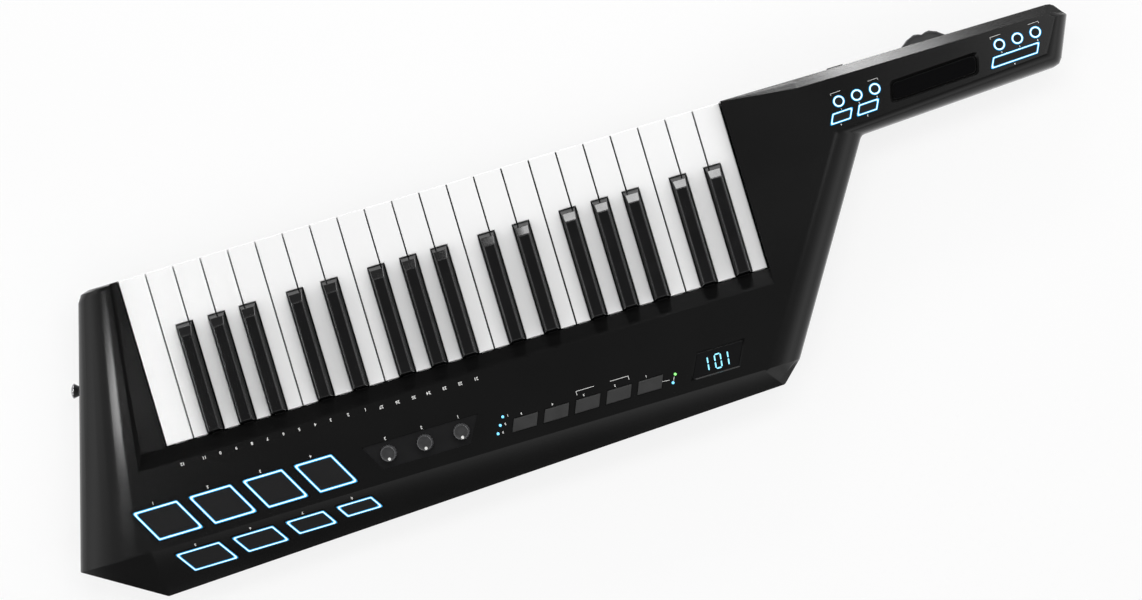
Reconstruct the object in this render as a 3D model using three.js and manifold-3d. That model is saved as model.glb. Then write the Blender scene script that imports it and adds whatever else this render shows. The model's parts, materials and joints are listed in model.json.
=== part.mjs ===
// A keytar that lies on its back: millimetres, +X along the keyboard towards the neck,
// +Y towards the fronts of the white keys, +Z up out of the keys, and the table at Z = 0.
// While it is built, X = 0 is the outer edge of the first white key and Y = 0 the fronts of the white keys.
import * as THREE from "three";
import { mergeVertices } from "three/addons/utils/BufferGeometryUtils.js";
import Module from "manifold-3d";

const wasm = await Module();
wasm.setup();

// Keyboard
const whiteKeyPitch = 23.5;
const whiteKeyCount = 22;
const keyGap = 1.0;
const whiteKeyLength = 141.5;
const whiteKeyTop = 49;
const whiteKeyHeight = 19;
const keyTopWall = 2.6;
const keySideWall = 2.0;
const keyEdgeBreak = 0.6;
const blackKeyLength = 93;
const blackKeyWidth = 13.2;
const blackKeyGap = 0.75;
const blackKeyTopWidth = 9.4;
const blackKeyRise = 11.5;
const blackKeySkirt = 13;
const blackKeyNoseRun = 3.1;
const blackKeyNoseRise = 6.5;
const blackKeyRampRun = 6.6;
const blackKeyTailRun = 1.6;
// Which gap between white keys of each run of seven holds a black key, and how far it leans there.
const keysPerRun = 7;
const blackKeyLeanShares = { 2: -0.17, 3: 0, 4: 0.136, 6: -0.14, 0: 0.123 };

// Key hinge and chassis
const tailWidth = 9;
const tailTop = 44;
const tailThickness = 8;
const hingeReach = 34.5;
const hingeHeight = 39;
const hingeBarDiameter = 4;
const hingeBarSides = 8;
const hingeSeatSides = 8;
const postSegments = 10;
const keysPerRib = 2;
const hingeClearance = 0.3;
const tailOverhang = 6.5;
const chassisBase = 16;
const chassisThickness = 2.5;
const chassisFrontSetback = 6;
const chassisRearMargin = 3;
const chassisEndMargin = 0.3;
const hingeRibThickness = 2;
const hingeRibRun = 14;
const hingeRibTop = 42.5;
const whiteGuideSetback = 20;
const blackGuideSetback = 22;
const guideThickness = 4;
const guideClearance = 0.5;
const whiteGuideTop = 35;
const blackGuideTop = 40;

// Case: heights
const panelHeight = 56;
const wall = 3;
const seamHeight = 28;
const seamGap = 0.3;
const backRoll = 10;
const neckBackHeight = 16;
const neckBackRoll = 10;
const caseEdge = 0.6;
const chamferAngle = THREE.MathUtils.degToRad(32.5);

// Case: the key well
const wellFloorDrop = 0.6;
const keyRearGap = 0.8;
const openingClearance = 1.2;
const wellSlopeRun = 13.2;
const wellFrontReach = 6.3;
const wellFootReach = 21.7;
const wellRearReach = 27.1;
const frontWallTop = 19;

// Case: plan of the widest line, left to right and front to back
const cheekFrontReach = 35.6;
const cheekCornerReach = 100.3;
const toeReach = 35.8;
const heelInset = 14;
const heelRun = 18.5;
const blockSlantRun = 101.5;
const panelDepth = 66;
const toeDrop = 39.9;
const heelDrop = 16.5;
const neckRootDepth = 58.8;
const neckLength = 191;
const tipSlantRun = 16.7;
const tipLowerDepth = 50.1;
const tipPointDepth = 11.4;
const tipCornerRun = 13;
// Case: plan of the flat panel inside its rolled and chamfered edges
const cheekRollFront = 27;
const cheekRollCorner = 53.3;
const cheekRollFrontDepth = 2.1;
const blockRoll = 25;
const neckRootRollRun = 23;
const neckRootRollRise = 8.8;
const tipRollRun = 13.3;
const tipRollRise = 12;
const tipPointRollRun = 14;
const tipCornerRollRun = 7;
const neckChamfer = 7.8;
const neckChamferDrop = 6.2;
const neckChamferRun = 64;
const edgeBreak = 0.5;
const cheekShoulder = 31;
const frontShoulder = 34;
const blockShoulder = 36;
const frontCornerRound = 12;
const tipRound = 9;
const heelRound = 3;
const rootRound = 6;
const cornerRound = 1.2;
const rollSteps = 8;
const cavitySteps = 4;
const cornerSteps = 2;
const cornerReachShare = 0.45;
const straightReachShare = 0.02;
const flatEnough = 1e-7;
const parallelEnough = 1e-6;
const weldReach = 1e-4;

// Pads
const padClearance = 0.4;
const matThickness = 2.4;
const matMargin = 1.6;
const matGap = 0.3;
const matSeat = 0.8;
const padRise = 0.9;
const padGroove = 0.7;
const padFrameWidth = 2.2;
const padFrameInset = 0.5;
const padCount = 4;
const padCornerRound = 1.6;
const smallCornerSteps = 2;
const upperPadStart = 42.9;
const upperPadWidth = 39.8;
const upperPadTaper = 1.85;
const upperPadSpacing = 8;
const upperPadSetback = 30.1;
const upperPadDepth = 29.2;
const upperPadSlant = 15.9;
const lowerPadStart = 19.4;
const lowerPadWidth = 39.4;
const lowerPadTaper = 2.4;
const lowerPadSpacing = 8.95;
const lowerPadSetback = 7.6;
const lowerPadDepth = 22.8;
const lowerPadDepthTaper = 2.7;
const lowerPadSlant = 11.4;

// Knobs, panel buttons and display
const knobCount = 3;
const knobStart = 174.3;
const knobPitch = 31.2;
const knobSetback = 43.5;
const knobDiameter = 14;
const knobTopDiameter = 12.4;
const knobHeight = 11;
const knobFlutes = 10;
const pointsPerFlute = 3;
const knobFluteDepth = 0.5;
const knobGap = 0.4;
const knobShaftDiameter = 6;
const knobHoleClearance = 0.3;
const trayDepth = 1.2;
const trayStart = 154.2;
const trayWidth = 99.5;
const traySetback = 33;
const trayRun = 22.3;
const traySlant = 12;
const buttonCount = 5;
const buttonStart = 280.9;
const buttonPitch = 26.75;
const buttonSetback = 45.7;
const buttonWidth = 20.9;
const buttonDepth = 10.5;
const buttonSlant = 4.4;
const buttonRise = 1.5;
const buttonClearance = 0.35;
const buttonFlange = 1.1;
const buttonFlangeThickness = 1.5;
const buttonStem = 5;
const buttonTravel = 1.0;
const buttonStopGap = 0.3;
const displayStart = 439.7;
const displayWidth = 42.3;
const displaySetback = 36;
const displayDepth = 21.7;
const displaySlant = 10.8;
const displayRecess = 1.6;
const displayBevel = 1.1;
const displayWindowThickness = 2.2;
const displayWindowGap = 0.3;
const boardThickness = 1.6;
const boardGap = 2.2;
const boardSetback = 34;
const boardDepth = 29;
const boardMargin = 26;
const boardEndMargin = 24;
const boardPostDiameter = 6;

// Neck controls, in a frame that is turned a little against the keyboard
const neckTurn = THREE.MathUtils.degToRad(2.4);
const neckFrameDepth = 20;
const ringDiameter = 10.1;
const ringCoreDiameter = 6.4;
const ringSegments = 12;
const ringPitch = 15.6;
const ringRow = 6.8;
const ringStart = 12.3;
const outerRingStart = 127.5;
const outerRingRow = 5.6;
const ringsPerCluster = 3;
const barDepth = 9.2;
const barSlant = 4.9;
const barWidth = 18.3;
const barRow = 14.7;
const barStart = 20.8;
const barPitch = 22.9;
const longBarWidth = 41.1;
const longBarStart = 119;
const longBarRow = 13.7;
const neckKeyRise = 0.9;
const neckKeyGroove = 0.6;
const barFrameWidth = 1.7;
const neckKeyClearance = 0.35;
const barCornerRound = 1.2;
const stripStart = 32.8;
const stripWidth = 77.2;
const stripRow = 4.7;
const stripDepth = 18.4;
const stripSlant = 5.8;
const stripRecess = 3.4;
const stripRecessSlope = 2.4;
const stripCornerRound = 3.6;
const stripThickness = 1.2;
const stripGap = 0.3;

// Pitch wheel and sustain button
const wheelReach = 70.6;
const wheelSetback = 17.1;
const wheelRadius = 25.6;
const wheelThickness = 10;
const wheelBottom = 31.5;
const wheelNotchWidth = 8.4;
const wheelNotchDepth = 2.6;
const wheelRimWidth = 2.2;
const wheelRimRelief = 0.7;
const wheelRibs = 24;
const wheelRibDepth = 0.35;
const wheelGap = 1.2;
const wheelPinDiameter = 5;
const wheelPinClearance = 0.05;
const wheelPostDiameter = 12;
const wheelHubDiameter = 14;
const wheelHubDrop = 0.4;
const wheelHubClearance = 0.3;
const wheelPinProud = 0.6;
const wheelSlotSegments = 30;
const sustainInset = 5.7;
const sustainWidth = 13.2;
const sustainHeightShare = 0.457;
const sustainProud = 1.1;
const sustainFlange = 1.2;
const sustainClearance = 0.3;
const sustainBody = 6;

// Strap pins
const pinHeadDiameter = 12.7;
const pinNeckDiameter = 6.4;
const pinBaseDiameter = 8.8;
const pinProjection = 8.2;
const pinHeadThickness = 2;
const pinBaseThickness = 1.2;
const pinUndercut = 1.2;
const pinShankDiameter = 4;
const pinShankLength = 7;
const pinSeatGap = 0.05;
const pinBossDiameter = 11;
const endPinDepth = 77.5;
const endPinHeight = 21.5;
const neckPinReach = 34;
const neckPinDepth = 30;

// Back of the case
const doorStart = 190;
const doorWidth = 82;
const doorDepth = 64;
const doorSetback = 52;
const doorThickness = 2;
const doorSunk = 0.5;
const doorClearance = 0.3;
const doorLedge = 3;
const doorPad = 3.5;
const doorFingerWidth = 16;
const doorFingerDepth = 7;
const doorFingerSunk = 1;
const chassisPostDiameter = 9;
const chassisPostInset = 26;
const chassisPostSetback = 14;
const chassisPostCount = 4;
const casePostDiameter = 8;
const casePostGap = 0.3;
const cheekPostReach = 30;
const casePostSetback = 14.5;
const heelPostReach = 13;
const heelPostDepth = 135;
const blockPostReach = 43;
const blockPostDepth = 60;
const overrun = 5;
const roundSegments = 16;

// Worked out from the sizes above
const keySpan = whiteKeyCount * whiteKeyPitch;
const wellFootDepth = whiteKeyLength + keyRearGap;
const wellRearDepth = wellFootDepth + wellSlopeRun;
const creaseDepth = wellRearDepth + panelDepth;
const wellFloor = whiteKeyTop - wellFloorDrop;
const openingLeft = keyGap / 2 - openingClearance;
const openingRight = keySpan - keyGap / 2 + openingClearance;
const hingeDepth = whiteKeyLength + hingeReach;
const tailEnd = hingeDepth + tailOverhang;
const ceiling = panelHeight - wall;
const neckRootX = keySpan - heelInset + heelRun + blockSlantRun;
const frontBottom = seamHeight + seamGap;
const boardTop = ceiling - wall - boardGap - buttonFlangeThickness;
const chassisTop = chassisBase + chassisThickness;
const fullTurn = 2 * Math.PI;

// Materials
const satinBlack = new THREE.MeshStandardMaterial({ color: 0x1b1b1c, roughness: 0.42, metalness: 0 });
const keyWhite = new THREE.MeshStandardMaterial({ color: 0xf4f4f2, roughness: 0.22, metalness: 0 });
const keyBlack = new THREE.MeshStandardMaterial({ color: 0x0c0c0d, roughness: 0.15, metalness: 0 });
const siliconeBlack = new THREE.MeshStandardMaterial({ color: 0x202224, roughness: 0.7, metalness: 0 });
const buttonGrey = new THREE.MeshStandardMaterial({ color: 0x3b3b3d, roughness: 0.5, metalness: 0 });
const knobGrey = new THREE.MeshStandardMaterial({ color: 0x4a4a4c, roughness: 0.55, metalness: 0 });
const smokedClear = new THREE.MeshStandardMaterial({ color: 0x0a0d10, roughness: 0.08, metalness: 0 });
const wheelGrey = new THREE.MeshStandardMaterial({ color: 0x38383a, roughness: 0.5, metalness: 0 });
const nickel = new THREE.MeshStandardMaterial({ color: 0xc9c9cc, roughness: 0.18, metalness: 1 });
const circuitGreen = new THREE.MeshStandardMaterial({ color: 0x1f5a34, roughness: 0.5, metalness: 0 });
const chassisGrey = new THREE.MeshStandardMaterial({ color: 0x6d6f72, roughness: 0.6, metalness: 0 });

// Closed geometry to a solid, and back
function solid(geometry) {
  const bare = new THREE.BufferGeometry();
  const source = geometry.index ? geometry.toNonIndexed() : geometry;
  bare.setAttribute("position", source.getAttribute("position"));
  const merged = mergeVertices(bare, weldReach);
  return new wasm.Manifold(
    new wasm.Mesh({
      numProp: 3,
      vertProperties: merged.attributes.position.array,
      triVerts: new Uint32Array(merged.index.array),
    }),
  );
}

function geometryOf(made) {
  const mesh = made.getMesh();
  const geometry = new THREE.BufferGeometry();
  geometry.setAttribute("position", new THREE.BufferAttribute(new Float32Array(mesh.vertProperties), 3));
  geometry.setIndex(new THREE.BufferAttribute(new Uint32Array(mesh.triVerts), 1));
  geometry.computeVertexNormals();
  return geometry;
}

const join = (...pieces) => pieces.reduce((all, piece) => all.add(piece));
const cut = (piece, ...tools) => tools.reduce((rest, tool) => rest.subtract(tool), piece);

// A block between two corners
function block(x0, x1, y0, y1, z0, z1) {
  const geometry = new THREE.BoxGeometry(x1 - x0, y1 - y0, z1 - z0);
  return solid(geometry.translate((x0 + x1) / 2, (y0 + y1) / 2, (z0 + z1) / 2));
}

// An upright round bar
function roundBar(x, y, radius, z0, z1, segments = roundSegments) {
  const geometry = new THREE.CylinderGeometry(radius, radius, z1 - z0, segments);
  return solid(geometry.rotateX(Math.PI / 2).translate(x, y, (z0 + z1) / 2));
}

// An outline in plan, raised between two heights
function prism(points, z0, z1) {
  const shape = new THREE.Shape(points);
  const geometry = new THREE.ExtrudeGeometry(shape, { depth: z1 - z0, bevelEnabled: false });
  return solid(geometry.translate(0, 0, z0));
}

// A plan outline moved inwards by a distance, edge by edge
function inset(corners, distance) {
  const count = corners.length;
  const edges = corners.map((from, i) => {
    const along = corners[(i + 1) % count].clone().sub(from).normalize();
    const inward = new THREE.Vector2(-along.y, along.x).multiplyScalar(distance);
    return { start: from.clone().add(inward), along };
  });
  return corners.map((corner, i) => {
    const before = edges[(i + count - 1) % count];
    const after = edges[i];
    const turn = before.along.cross(after.along);
    if (Math.abs(turn) < parallelEnough) return after.start.clone();
    const reach = after.start.clone().sub(before.start).cross(after.along) / turn;
    return before.start.clone().addScaledVector(before.along, reach);
  });
}

// Each corner becomes a short curve of the same number of points
function rounded(corners, radii, steps = cornerSteps) {
  const count = corners.length;
  return corners.flatMap((corner, i) => {
    const before = corners[(i + count - 1) % count].clone().sub(corner);
    const after = corners[(i + 1) % count].clone().sub(corner);
    const radius = Array.isArray(radii) ? radii[i] : radii;
    const half = Math.abs(before.angleTo(after)) / 2;
    const wanted = radius / Math.tan(half);
    const longest = Math.min(before.length(), after.length()) * cornerReachShare;
    const reach = Math.min(Math.max(wanted, longest * straightReachShare), longest);
    const curve = new THREE.QuadraticBezierCurve(
      corner.clone().addScaledVector(before.normalize(), reach),
      corner.clone(),
      corner.clone().addScaledVector(after.normalize(), reach),
    );
    return curve.getPoints(steps);
  });
}

// Triangles over a flat outline, ear by ear, that keep every point of it, also those along a straight stretch
function lid(ring) {
  const left = ring.map((_, i) => i);
  const faces = [];
  const area = (a, b, c) =>
    (ring[b].x - ring[a].x) * (ring[c].y - ring[a].y) - (ring[c].x - ring[a].x) * (ring[b].y - ring[a].y);
  const corners = (i) => [left[(i + left.length - 1) % left.length], left[i], left[(i + 1) % left.length]];
  const isEar = (_, i) => {
    const [a, b, c] = corners(i);
    if (area(a, b, c) <= flatEnough) return false;
    const others = left.filter((p) => p !== a && p !== b && p !== c);
    return !others.some((p) => area(a, b, p) >= 0 && area(b, c, p) >= 0 && area(c, a, p) >= 0);
  };
  while (left.length > 2) {
    const found = left.findIndex(isEar);
    const ear = found < 0 ? left.findIndex((_, i) => Math.abs(area(...corners(i))) <= flatEnough) : found;
    if (ear < 0) throw new Error("an outline crosses itself");
    faces.push(corners(ear));
    left.splice(ear, 1);
  }
  return faces;
}

// Skin over rings of equally many points, closed by a lid on the first and the last
function loft(rings) {
  const count = rings[0].length;
  const points = rings.flat();
  const faces = [];
  for (let level = 0; level + 1 < rings.length; level++) {
    for (let i = 0; i < count; i++) {
      const a = level * count + i;
      const b = level * count + ((i + 1) % count);
      faces.push(a, b, b + count, a, b + count, a + count);
    }
  }
  const top = (rings.length - 1) * count;
  for (const [a, b, c] of lid(rings[0])) faces.push(c, b, a);
  for (const [a, b, c] of lid(rings[rings.length - 1])) faces.push(top + a, top + b, top + c);
  const geometry = new THREE.BufferGeometry();
  const places = new THREE.Float32BufferAttribute(points.flatMap((p) => [p.x, p.y, p.z]), 3);
  geometry.setAttribute("position", places);
  geometry.setIndex(faces);
  return solid(geometry);
}

const ringAt = (outline, z) => outline.map((p) => new THREE.Vector3(p.x, p.y, z));

// A slanted four-sided outline: its upper left corner, then width, depth and how far the lower edge shifts
function slantedOutline({ x, y, width, depth, slant, lowerWidth = width, rise = 0 }) {
  return [
    new THREE.Vector2(x + slant, y - depth),
    new THREE.Vector2(x + slant + lowerWidth, y - depth + rise),
    new THREE.Vector2(x + width, y),
    new THREE.Vector2(x, y),
  ];
}

const group = new THREE.Group();

// Adds one piece; a moving piece has its own origin at the point that its joint turns or slides about
function addPiece(name, made, material, pivot = new THREE.Vector3(), parent = group) {
  const mesh = new THREE.Mesh(geometryOf(made.translate(-pivot.x, -pivot.y, -pivot.z)), material);
  mesh.name = name;
  mesh.position.copy(pivot);
  parent.add(mesh);
}

// Keys. One side profile serves all white keys and one all black keys; a plan outline cuts each to its place.
const blackKeys = [];
for (let boundary = 1; boundary < whiteKeyCount; boundary++) {
  const lean = blackKeyLeanShares[boundary % keysPerRun];
  if (lean !== undefined) {
    blackKeys.push({ boundary, middle: (boundary + lean) * whiteKeyPitch });
  }
}

// The hook at a key's tail drops over the hinge bar: a round seat that is open below
function hingeSeat(x0, x1) {
  const radius = hingeBarDiameter / 2 + hingeClearance;
  const seat = new THREE.CylinderGeometry(radius, radius, x1 - x0, hingeSeatSides);
  const round = solid(seat.rotateZ(Math.PI / 2).translate((x0 + x1) / 2, -hingeDepth, hingeHeight));
  const mouth = block(
    x0,
    x1,
    -hingeDepth - hingeBarDiameter / 2,
    -hingeDepth + hingeBarDiameter / 2,
    tailTop - tailThickness - overrun,
    hingeHeight,
  );
  return join(round, mouth);
}

function keyTail(middle, bodyEnd) {
  const tail = block(
    middle - tailWidth / 2,
    middle + tailWidth / 2,
    -tailEnd,
    -bodyEnd + keySideWall,
    tailTop - tailThickness,
    tailTop,
  );
  return cut(tail, hingeSeat(middle - tailWidth, middle + tailWidth));
}

function whiteKey(index) {
  const left = index * whiteKeyPitch + keyGap / 2;
  const right = (index + 1) * whiteKeyPitch - keyGap / 2;
  const notchHalf = blackKeyWidth / 2 + blackKeyGap;
  const notchFront = whiteKeyLength - blackKeyLength - blackKeyGap;
  const leftBlack = blackKeys.find((key) => key.boundary === index);
  const rightBlack = blackKeys.find((key) => key.boundary === index + 1);
  const rearLeft = leftBlack ? leftBlack.middle + notchHalf : left;
  const rearRight = rightBlack ? rightBlack.middle - notchHalf : right;
  const corners = [[left, 0]];
  if (leftBlack) corners.push([left, -notchFront], [rearLeft, -notchFront]);
  corners.push([rearLeft, -whiteKeyLength], [rearRight, -whiteKeyLength]);
  if (rightBlack) corners.push([rearRight, -notchFront], [right, -notchFront]);
  corners.push([right, 0]);
  const outline = corners.map(([x, y]) => new THREE.Vector2(x, y));
  const base = whiteKeyTop - whiteKeyHeight;
  const shell = cut(
    loft([
      ringAt(outline, base),
      ringAt(outline, whiteKeyTop - keyEdgeBreak),
      ringAt(inset(outline, keyEdgeBreak), whiteKeyTop),
    ]),
    prism(inset(outline, keySideWall), base - overrun, whiteKeyTop - keyTopWall),
  );
  const middle = (rearLeft + rearRight) / 2;
  return { made: join(shell, keyTail(middle, whiteKeyLength)), middle };
}

function blackKey({ middle }) {
  const half = blackKeyWidth / 2;
  const topHalf = blackKeyTopWidth / 2;
  const front = -(whiteKeyLength - blackKeyLength);
  const rear = -whiteKeyLength;
  const top = whiteKeyTop + blackKeyRise;
  const base = whiteKeyTop - blackKeySkirt;
  // The section across the key: upright skirt below the white keys' tops, then sides that lean in
  const section = (z) => {
    const lean = Math.max(0, (z - whiteKeyTop) / blackKeyRise);
    return half + (topHalf - half) * lean;
  };
  const nose = whiteKeyTop + blackKeyNoseRise;
  const level = (z, frontY, rearY) => {
    const reach = section(z);
    return ringAt(
      [
        new THREE.Vector2(middle - reach, frontY),
        new THREE.Vector2(middle - reach, rearY),
        new THREE.Vector2(middle + reach, rearY),
        new THREE.Vector2(middle + reach, frontY),
      ],
      z,
    );
  };
  const tailLean = blackKeyTailRun * (blackKeyNoseRise / blackKeyRise);
  const rim = top - keyEdgeBreak;
  const body = loft([
    level(base, front, rear),
    level(whiteKeyTop, front, rear),
    level(nose, front - blackKeyNoseRun, rear + tailLean),
    level(rim, front - blackKeyNoseRun - blackKeyRampRun, rear + blackKeyTailRun),
    ringAt(
      inset(
        [
          new THREE.Vector2(middle - section(rim), front - blackKeyNoseRun - blackKeyRampRun),
          new THREE.Vector2(middle - section(rim), rear + blackKeyTailRun),
          new THREE.Vector2(middle + section(rim), rear + blackKeyTailRun),
          new THREE.Vector2(middle + section(rim), front - blackKeyNoseRun - blackKeyRampRun),
        ],
        keyEdgeBreak,
      ),
      top,
    ),
  ]);
  const hollow = block(
    middle - half + keySideWall,
    middle + half - keySideWall,
    rear + keySideWall,
    front - keySideWall,
    base - overrun,
    whiteKeyTop,
  );
  return join(cut(body, hollow), keyTail(middle, whiteKeyLength));
}

const pivotAt = (middle) => new THREE.Vector3(middle, -hingeDepth, hingeHeight);
const numbered = (word, index) => `${word}_${String(index + 1).padStart(2, "0")}`;
const tailMiddles = [];
const guides = [];
for (let index = 0; index < whiteKeyCount; index++) {
  const { made, middle } = whiteKey(index);
  addPiece(numbered("white_key", index), made, keyWhite, pivotAt(middle));
  tailMiddles.push(middle);
  const guideHalf = (whiteKeyPitch - keyGap) / 2 - keySideWall - guideClearance;
  guides.push({
    middle: (index + 0.5) * whiteKeyPitch,
    half: guideHalf,
    setback: whiteGuideSetback,
    top: whiteGuideTop,
  });
}
blackKeys.forEach((key, index) => {
  addPiece(numbered("black_key", index), blackKey(key), keyBlack, pivotAt(key.middle));
  tailMiddles.push(key.middle);
  guides.push({
    middle: key.middle,
    half: blackKeyWidth / 2 - keySideWall - guideClearance,
    setback: whiteKeyLength - blackKeyLength + blackGuideSetback,
    top: blackGuideTop,
  });
});
tailMiddles.sort((a, b) => a - b);

// Chassis under the keys: a tray with a guide blade inside each key, and ribs that carry the hinge bar
const chassisLeft = openingLeft + openingClearance - keyGap / 2 - chassisEndMargin;
const chassisRight = keySpan + chassisEndMargin;
const chassisRear = tailEnd + chassisRearMargin;
const ribAt = (middle) =>
  block(
    middle - hingeRibThickness / 2,
    middle + hingeRibThickness / 2,
    -hingeDepth - hingeRibRun / 2,
    -hingeDepth + hingeRibRun / 2,
    chassisBase + chassisThickness / 2,
    hingeRibTop,
  );
const ribMiddles = tailMiddles
  .slice(1)
  .map((middle, i) => (middle + tailMiddles[i]) / 2)
  .filter((_, i) => i % keysPerRib === 1);
ribMiddles.unshift(chassisLeft + hingeRibThickness / 2);
ribMiddles.push(chassisRight - hingeRibThickness / 2);
const barRadius = hingeBarDiameter / 2;
const hingeBarLength = chassisRight - chassisLeft - hingeRibThickness;
const hingeBar = solid(
  new THREE.CylinderGeometry(barRadius, barRadius, hingeBarLength, hingeBarSides)
    .rotateZ(Math.PI / 2)
    .translate((chassisLeft + chassisRight) / 2, -hingeDepth, hingeHeight),
);
const chassis = join(
  block(chassisLeft, chassisRight, -chassisRear, -chassisFrontSetback, chassisBase, chassisTop),
  hingeBar,
  ...ribMiddles.map(ribAt),
  ...guides.map(({ middle, half, setback, top }) =>
    block(
      middle - half,
      middle + half,
      -setback - guideThickness / 2,
      -setback + guideThickness / 2,
      chassisBase + chassisThickness / 2,
      top,
    ),
  ),
);
addPiece("key_chassis", chassis, chassisGrey);

// Case outline. Each corner has its place on the widest line, its place on the flat panel, the height
// where the side starts to turn in, and whether it turns in as a round roll or as a flat chamfer.
const planePoint = (x, depth) => new THREE.Vector2(x, -depth);
const chamferHeight = (depth) => panelHeight - (depth - creaseDepth) * Math.tan(chamferAngle);
const heelX = keySpan - heelInset;
const heelCornerX = heelX + heelRun;
const tipX = neckRootX + neckLength;
const blockSlope = new THREE.Vector2(blockSlantRun, creaseDepth - neckRootDepth).normalize();
const blockRollRun = blockRoll / blockSlope.y;
const caseCorners = [
  {
    outer: planePoint(-toeReach, creaseDepth + toeDrop),
    inner: planePoint(-toeReach, creaseDepth),
    shoulder: chamferHeight(creaseDepth + toeDrop),
    roll: false,
    round: heelRound,
  },
  {
    outer: planePoint(heelX, creaseDepth + heelDrop),
    inner: planePoint(heelX - heelInset, creaseDepth),
    shoulder: chamferHeight(creaseDepth + heelDrop),
    roll: false,
    round: heelRound,
  },
  {
    outer: planePoint(heelCornerX, creaseDepth),
    inner: planePoint(heelCornerX - blockRollRun, creaseDepth),
    shoulder: blockShoulder,
    roll: true,
    round: heelRound,
  },
  {
    outer: planePoint(neckRootX, neckRootDepth),
    inner: planePoint(neckRootX - neckRootRollRun, neckRootDepth - neckRootRollRise),
    shoulder: blockShoulder,
    roll: true,
    round: rootRound,
  },
  {
    outer: planePoint(tipX - tipSlantRun, tipLowerDepth),
    inner: planePoint(tipX - tipSlantRun - tipRollRun, tipLowerDepth - tipRollRise),
    shoulder: blockShoulder,
    roll: true,
    round: tipRound,
  },
  {
    outer: planePoint(tipX, tipPointDepth),
    inner: planePoint(tipX - tipPointRollRun, tipPointDepth),
    shoulder: blockShoulder,
    roll: true,
    round: cornerRound,
  },
  {
    outer: planePoint(tipX - tipCornerRun, -caseEdge),
    inner: planePoint(tipX - tipCornerRun - tipCornerRollRun, neckChamfer - caseEdge),
    shoulder: panelHeight - neckChamferDrop,
    roll: false,
    round: tipRound,
  },
  {
    outer: planePoint(openingRight + neckChamferRun, -caseEdge),
    inner: planePoint(openingRight + neckChamferRun, neckChamfer - caseEdge),
    shoulder: panelHeight - neckChamferDrop,
    roll: false,
    round: cornerRound,
  },
  {
    outer: planePoint(openingRight, -caseEdge),
    inner: planePoint(openingRight, edgeBreak - caseEdge),
    shoulder: panelHeight - edgeBreak,
    roll: false,
    round: cornerRound,
  },
  {
    outer: planePoint(-cheekFrontReach, -caseEdge),
    inner: planePoint(cheekRollFront - cheekFrontReach, cheekRollFrontDepth),
    shoulder: frontShoulder,
    roll: true,
    round: frontCornerRound,
  },
  {
    outer: planePoint(-cheekCornerReach, creaseDepth),
    inner: planePoint(cheekRollCorner - cheekCornerReach, creaseDepth),
    shoulder: cheekShoulder,
    roll: true,
    round: cornerRound,
  },
];
const outerPlan = caseCorners.map((corner) => corner.outer);
const innerPlan = caseCorners.map((corner) => corner.inner);
const outerRounds = caseCorners.map((corner) => corner.round);
const perPoint = caseCorners.flatMap((corner) => Array(cornerSteps + 1).fill(corner));

// Upper half of the case: upright to each corner's shoulder, then turned in to the flat panel
function upperForm(outer, inner, bottom, top, sink, steps) {
  const outerRing = rounded(outer, outerRounds);
  const innerRing = rounded(inner, cornerRound);
  const rings = [ringAt(outerRing, bottom)];
  for (let step = 0; step <= steps; step++) {
    const share = step / steps;
    rings.push(
      outerRing.map((from, i) => {
        const { roll, shoulder } = perPoint[i];
        const across = roll ? 1 - Math.cos((share * Math.PI) / 2) : share;
        const up = roll ? Math.sin((share * Math.PI) / 2) : share;
        const flat = from.clone().lerp(innerRing[i], across);
        const start = shoulder - sink;
        return new THREE.Vector3(flat.x, flat.y, start + (top - start) * up);
      }),
    );
  }
  return loft(rings);
}

// Lower half of a case outline: upright, then rolled in to a flat back
function lowerForm(outline, rounds, bottom, top, roll, steps) {
  const outer = rounded(outline, rounds);
  const inner = rounded(inset(outline, roll), cornerRound);
  const rings = [];
  for (let step = 0; step <= steps; step++) {
    const turn = ((1 - step / steps) * Math.PI) / 2;
    const height = bottom + roll * (1 - Math.sin(turn));
    rings.push(outer.map((from, i) => {
      const flat = from.clone().lerp(inner[i], 1 - Math.cos(turn));
      return new THREE.Vector3(flat.x, flat.y, height);
    }));
  }
  rings.push(ringAt(outer, top));
  return loft(rings);
}

// Front cover: the rolled shell, the sunk key well with its sloped walls, and the windows for the controls
const outerForm = upperForm(outerPlan, innerPlan, frontBottom, panelHeight, 0, rollSteps);
const cavity = upperForm(
  inset(outerPlan, wall),
  inset(innerPlan, wall),
  frontBottom - overrun,
  ceiling,
  wall,
  cavitySteps,
);
const wellOutline = (frontReach, rearReach, depth) => [
  planePoint(-frontReach, -overrun),
  planePoint(-frontReach, 0),
  planePoint(-rearReach, depth),
  planePoint(openingRight, depth),
  planePoint(openingRight, -overrun),
];
const wellVoid = loft([
  ringAt(wellOutline(wellFrontReach, wellFootReach, wellFootDepth), wellFloor),
  ringAt(wellOutline(wellFrontReach, wellRearReach, wellRearDepth), panelHeight),
  ringAt(wellOutline(wellFrontReach, wellRearReach, wellRearDepth), panelHeight + overrun),
]);
const wellLiner = prism(
  inset(wellOutline(wellFrontReach, wellRearReach, wellRearDepth), -wall),
  wellFloor - wall,
  panelHeight,
).intersect(outerForm);
const keyVoid = block(
  openingLeft,
  openingRight,
  -wellFootDepth,
  overrun,
  frontBottom - overrun,
  panelHeight + overrun,
);
const skirts = join(
  block(openingLeft - wall, openingLeft, -wellFootDepth, 0, frontBottom, wellFloor),
  block(openingRight, openingRight + wall, -wellFootDepth, 0, frontBottom, ceiling),
);

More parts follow.
